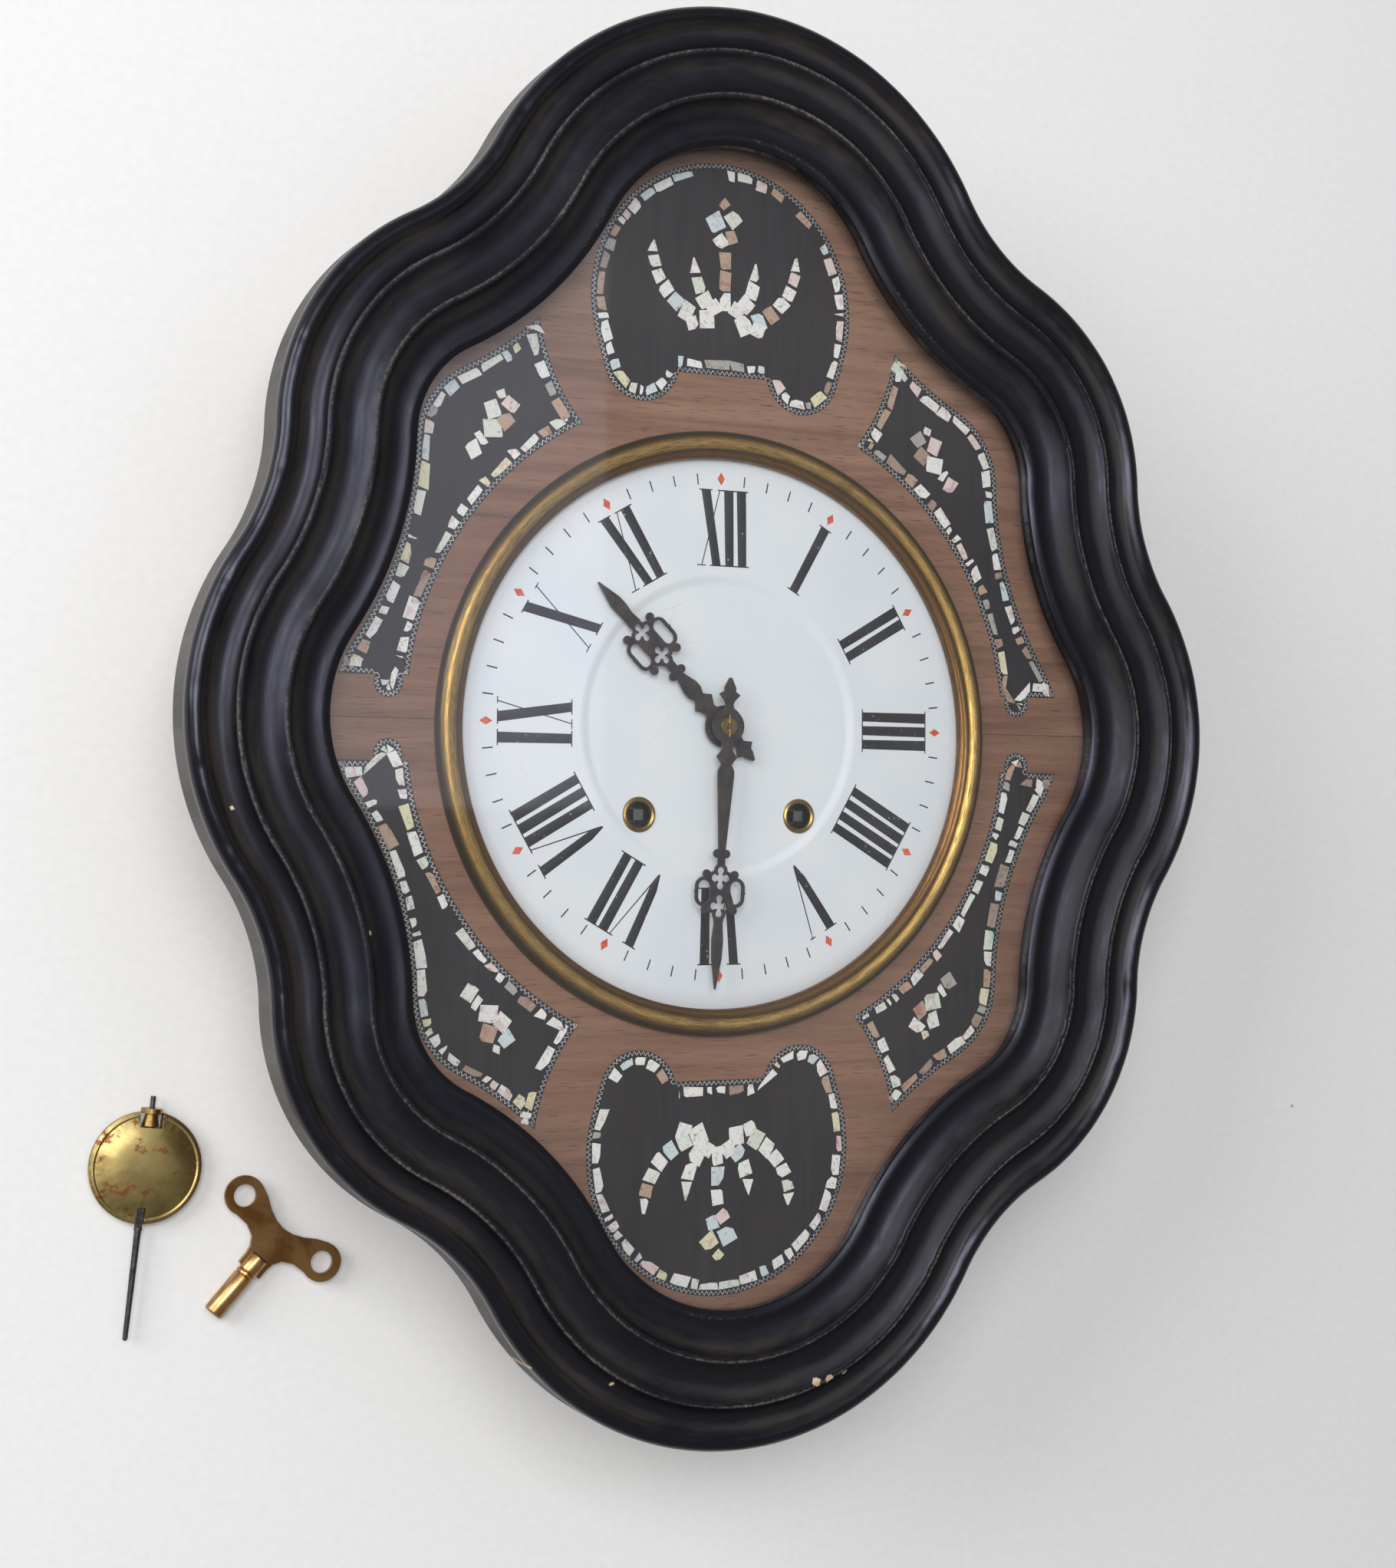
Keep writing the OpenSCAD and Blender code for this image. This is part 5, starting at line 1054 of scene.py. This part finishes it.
# %% Red lozenges
red_paint, put, skin, spot = finish("red enamel drop", Roughness=0.25, IOR=1.5)
wear = put("TexNoise", {"Vector": spot, "Scale": 500.0, "Detail": 3.0})
tint = put("ValToRGB", [wear], stops=[(0.35, "#c9502f"), (0.62, "#dd6f50")])
plug(skin, {"Base Color": tint})
a = np.radians(np.arange(12) * 30)[:, None]
lx, ly = np.array([0, 1.8, 0, -1.8, 0])[None], np.array([106.1, 109.0, 111.9, 109.0, 109.0])[None]
gx, gy = lx * np.cos(a) + ly * np.sin(a), -lx * np.sin(a) + ly * np.cos(a)
z = dial_top(np.hypot(gx, gy)) + np.array([0.0, 0.0, 0.0, 0.0, 0.09])
faces = (np.arange(12)[:, None, None] * 5 + np.array([[0, 1, 4], [1, 2, 4], [2, 3, 4], [3, 0, 4]])).reshape(-1, 3)
build("red_lozenges", np.stack([gx, gy, z], -1), faces, "case", red_paint)

# %% [markdown]
# ## Metal that was cut and filed
#
# The hands, the key and the pendulum are metal with crisp outlines, and the
# measured model has those outlines right. A copy with its loose triangles
# merged gets a narrow bevel, because no filed edge is perfectly sharp.

# %% Bevelled copies


def filed(node, width, finish_):
    """A copy of a measured part: doubles merged, flat faces joined up, edges bevelled by width in millimetres."""
    work = bmesh.new()
    work.from_mesh(frame["nodes"][node].data)
    bmesh.ops.remove_doubles(work, verts=work.verts, dist=2e-6)
    bmesh.ops.dissolve_limit(work, angle_limit=math.radians(0.6), verts=work.verts, edges=work.edges)
    mesh = bpy.data.meshes.new(node + "_filed")
    work.to_mesh(mesh)
    work.free()
    mesh.polygons.foreach_set("use_smooth", np.ones(len(mesh.polygons), bool))
    mesh.set_sharp_from_angle(angle=math.radians(35))
    mesh.materials.clear()
    mesh.materials.append(finish_)
    piece = place(mesh.name, mesh)
    bevel = piece.modifiers.new("filed edge", "BEVEL")
    bevel.width, bevel.segments, bevel.limit_method = width * MM, 2, "ANGLE"
    bevel.angle_limit, bevel.harden_normals = math.radians(40), True
    body = next(b for b, members in frame["record"]["behaviour"]["bodies"].items() if node in members)
    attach(piece, body)
    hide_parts(node)
    return piece


# %% Hands
# Dark steel, blue-black once, now brownish with a soft sheen.
blued = oxidised(
    "hardened steel, blueing gone brown", 0.75, {"Scale": 170.0, "Detail": 5.0, "Roughness": 0.65},
    [(0.3, "#38343a"), (0.5, "#4c474a"), (0.68, "#5d524b")], 0.34, 0.6, 0.03,
)
filed("minute_hand", 0.12, blued)
filed("hour_hand", 0.12, blued)

# %% [markdown]
# ## Brass of the movement, the pendulum and the key
#
# New brass is yellow; handled brass gets brown and red blotches where sweat
# has eaten the zinc. One function makes them all: a light one for the
# movement, one for the bob, which is stained most, browner ones for the key
# and its pipe, and a dull one for small fittings.

# %% Brass finishes


def brass(name, bright, dark, stain, size, share, low=0.22, high=0.5):
    """Brass whose blotches are about size millimetres wide; share is how much of it they cover."""
    made, put, skin, spot = finish(name, Metallic=1.0)
    blot = put(
        "TexNoise", {"Vector": spot, "Scale": 1000.0 / size / 2, "Detail": 5.0, "Roughness": 0.6, "Distortion": 0.6},
    )
    mark = put("TexNoise", {"Vector": spot, "Scale": 1400.0 / size, "Detail": 4.0, "Roughness": 0.7})
    tint = put("ValToRGB", [blot], stops=[(0.36, bright), (0.64, dark)])
    spots = put("MapRange", [mark, 0.74 - share / 2, 0.8 - share / 2, 0.0, 0.8])
    tint = put("Mix", {"Factor": spots, 6: tint, 7: stain}, data_type="RGBA")
    gloss = put("MapRange", [blot, 0.3, 0.7, low, high])
    gloss = put("Mix", {"Factor": spots, "A": gloss, "B": 0.62}, data_type="FLOAT")
    bumps = put("Bump", {"Height": mark, "Distance": 0.02 * MM, "Strength": 0.4})
    plug(skin, {"Base Color": tint, "Roughness": gloss, "Normal": bumps})
    return made


plate_brass = brass("rolled brass, lightly tarnished", "#c8a35a", "#a5823f", "#6a5232", 14.0, 0.1)
bob_brass = brass("stamped brass, stained by handling", "#bca76e", "#85744a", "#7a4a2c", 11.0, 0.36, 0.3, 0.5)
key_brass = brass("cast gilding metal, browned", "#a98355", "#6e4c2a", "#4d3520", 13.0, 0.2, 0.28, 0.46)
pipe_brass = brass("drawn gilding metal, rubbed bright", "#c39c6a", "#8e6d46", "#5e4630", 6.0, 0.1, 0.24, 0.4)
small_brass = brass("turned brass, dull", "#a98c52", "#80683c", "#5b4930", 4.0, 0.16)
filed("pendulum_bob", 0.12, bob_brass)
filed("rating_nut", 0.12, small_brass)
filed("key_wing", 0.18, key_brass)
filed("key_pipe", 0.12, pipe_brass)

# %% Steel finishes
# For arbors, bars, clicks and screws: grey steel with duller patches.
bright_steel = oxidised(
    "turned steel, greyed", 1.0, {"Scale": 240.0, "Detail": 5.0},
    [(0.35, "#8a8a8c"), (0.65, "#6b6967")], 0.22, 0.5, 0.02,
)
# For the rod, the gong, the mainsprings and the plate at the back: darker.
rod_steel = oxidised(
    "drawn steel wire, oxidised", 0.9, {"Scale": 380.0, "Detail": 4.0},
    [(0.35, "#57555a"), (0.65, "#3c383a")], 0.3, 0.6, 0.03,
)
filed("pendulum_rod", 0.1, rod_steel)
filed("hand_washer", 0.1, small_brass)

# %% [markdown]
# ## Case wood
#
# The box behind the front is plain poplar. Its sides were stained dark; the
# back and the small rear door were left raw and have only yellowed and
# gathered dust. The grain runs down the boards.

# %% Case wood


def board(name, light, dark, rough):
    """Plain sawn wood: growth bands a few millimetres wide, stretched down the board, with fine fibres over them."""
    made, put, skin, spot = finish(name, IOR=1.45)
    grain = put("VectorMath", [spot, (160.0, 7.0, 160.0)], operation="MULTIPLY")
    bands = put("TexNoise", {"Vector": grain, "Scale": 1.0, "Detail": 5.0, "Roughness": 0.6, "Distortion": 0.5})
    fibre = put("VectorMath", [spot, (1500.0, 60.0, 1500.0)], operation="MULTIPLY")
    fibre = put("TexNoise", {"Vector": fibre, "Scale": 1.0, "Detail": 3.0})
    mixed = put("Math", [fibre, 0.35, bands], operation="MULTIPLY_ADD")
    tint = put("ValToRGB", [mixed], stops=[(0.45, light), (0.85, dark)])
    grime = put("TexNoise", {"Vector": spot, "Scale": 12.0, "Detail": 4.0})
    grime = put("MapRange", [grime, 0.48, 0.75, 0.0, 0.45])
    tint = put("Mix", {"Factor": grime, 6: tint, 7: "#4a4038"}, data_type="RGBA")
    gloss = put("MapRange", [bands, 0.0, 1.0, rough - 0.08, rough + 0.1])
    bumps = put("Bump", {"Height": mixed, "Distance": 0.08 * MM, "Strength": 0.5})
    plug(skin, {"Base Color": tint, "Roughness": gloss, "Normal": bumps})
    return made


# Nearly black sides, a honey-coloured back, a browner board and pale slips.
stained = board("poplar, stained black and rubbed", "#2e2824", "#1d1917", 0.5)
raw = board("poplar, raw and yellowed", "#b08d62", "#8c6a44", 0.66)
ground = board("pine board under the veneer", "#a07c52", "#7d5d3a", 0.62)
rebate_wood = board("beech slips, glued", "#b58a5c", "#946a40", 0.6)

# %% [markdown]
# ## Glass
#
# The pane is old thin window glass. It is treated as a sheet that lets light
# straight through and mirrors a little of the room, more at a slant, which is
# what a Fresnel factor gives. Light isn't bent, so the inner side of each
# face must mirror as little as the outer one, and its index is turned over.
# A trace of dust makes the pane slightly milky.

# %% Glass
clear = bpy.data.materials.new("drawn window glass, a little dusty")
clear.use_nodes = True
clear.node_tree.nodes.clear()
put = partial(add, clear.node_tree)
spot = put("TexCoord").outputs["Object"]
through = put("BsdfTransparent", {"Color": "#fdfdfd"})
mirror = put("BsdfGlossy", {"Color": "#ffffff", "Roughness": 0.03})
inside = put("NewGeometry").outputs["Backfacing"]
ior = put("MapRange", [inside, 0.0, 1.0, 1.5, 0.6667])
slant = put("Fresnel", {"IOR": ior})
sheet = put("MixShader", [slant, through, mirror])
dust = put("TexNoise", {"Vector": spot, "Scale": 9.0, "Detail": 4.0})
dust = put("MapRange", [dust, 0.35, 0.75, 0.002, 0.014])
powder = put("BsdfDiffuse", {"Color": "#d6d3ce"})
dusted = put("MixShader", [dust, sheet, powder])
put("OutputMaterial", [dusted])

# %% [markdown]
# ## Finishes for the measured parts
#
# Every other part keeps its measured shape and gets the finish of its own
# material.

# %% Finishes for the measured parts
wear_these = {
    stained: ["case_boards"],
    raw: ["back_board", "rear_door"],
    ground: ["panel_board"],
    walnut: ["walnut_veneer"],
    rebate_wood: ["glass_wedges"],
    clear: ["door_glass"],
    small_brass: [
        "winding_eyelets", "dial_feet", "rear_hinge_leaf", "turn_button", "fixed_hinge_leaves", "door_hinge_leaves",
        "catch_pin", "door_hook",
    ],
    plate_brass: [
        "front_plate", "back_plate", "pillars", "suspension_cock", "centre_wheel", "minute_wheel", "hour_wheel",
        "intermediate_wheel", "third_wheel", "escape_wheel", "going_barrel", "strike_barrel", "pin_wheel",
        "locking_wheel", "fly",
    ],
    bright_steel: [
        "movement_bars", "centre_arbor", "cannon_pinion", "going_winder", "strike_winder", "going_click",
        "strike_click", "case_screws", "suspension_spring",
    ],
    rod_steel: ["hanging_plate", "gong", "gong_post", "anchor", "hammer", "going_spring", "strike_spring"],
}
for finish_, nodes in wear_these.items():
    for node in nodes:
        held = frame["nodes"][node].data.materials
        held.clear()
        held.append(finish_)
print("measured parts given a finish:", sum(map(len, wear_these.values())))

# %% [markdown]
# ## Table and light
#
# The photograph's ground is a pale grey, faintly mottled board with a few dark
# crumbs. The light is soft and comes mostly from two windows, one high up and
# one at the left, with weak light from the ceiling and from all round. The
# world shows as near-white to the camera, also through the glass, but lights
# the scene at an ordinary level.

# %% Table
tabletop, put, skin, spot = finish("matt paper on a board", Roughness=0.9, IOR=1.3)
tooth = put("TexNoise", {"Vector": spot, "Scale": 260.0, "Detail": 4.0})
tint = put("ValToRGB", [tooth], stops=[(0.3, "#e4e4e3"), (0.7, "#e9e8e7")])
crumb = put("TexVoronoi", {"Vector": spot, "Scale": 11.0})
near = put("MapRange", [crumb, 0.006, 0.012, 0.7, 0.0])
tint = put("Mix", {"Factor": near, 6: tint, 7: "#6a625c"}, data_type="RGBA")
bumps = put("Bump", {"Height": tooth, "Distance": 0.12 * MM, "Strength": 0.4})
plug(skin, {"Base Color": tint, "Normal": bumps})
HALF = 3000.0  # half the table's side
corners = np.array([(-HALF, -HALF, 0), (HALF, -HALF, 0), (HALF, HALF, 0), (-HALF, HALF, 0)])
table = place("table", mesh_of("table", corners, [(0, 1, 2, 3)]))
table.data.materials.append(tabletop)

# %% Light


def lamp(name, stand, target, size, power, colour="#ffffff"):
    """A square soft light at stand that faces target; size is its side in metres."""
    data = bpy.data.lights.new(name, "AREA")
    data.shape, data.size, data.energy, data.color = "SQUARE", size, power, linear(colour)[:3]
    turn = (Vector(stand) - Vector(target)).to_track_quat("Z", "Y").to_matrix().to_4x4()
    place(name, data).matrix_world = Matrix.Translation(stand) @ turn


lamp("overhead window", (-0.95, 0.5, 2.5), (0, 0, 0.05), 1.25, 43.0)
lamp("side window", (-2.7, 1.1, 1.45), (0, 0, 0.05), 1.7, 62.0)
lamp("pale ceiling", (0.2, 0.8, 2.6), (0.2, 0.8, 0), 1.6, 4.8, "#e3e9ff")
world = bpy.data.worlds.new("studio")
bpy.context.scene.world = world
world.use_nodes = True
world.node_tree.nodes.clear()
put = partial(add, world.node_tree)
path = put("LightPath").outputs
seen = put("Math", [path["Is Camera Ray"], path["Is Transmission Ray"]], operation="MAXIMUM")
dim = put("Background", {"Color": "#ffffff", "Strength": 0.28})
white = put("Background", {"Color": "#ededee", "Strength": 1.0})
both = put("MixShader", [seen, dim, white])
put("OutputWorld", [both])
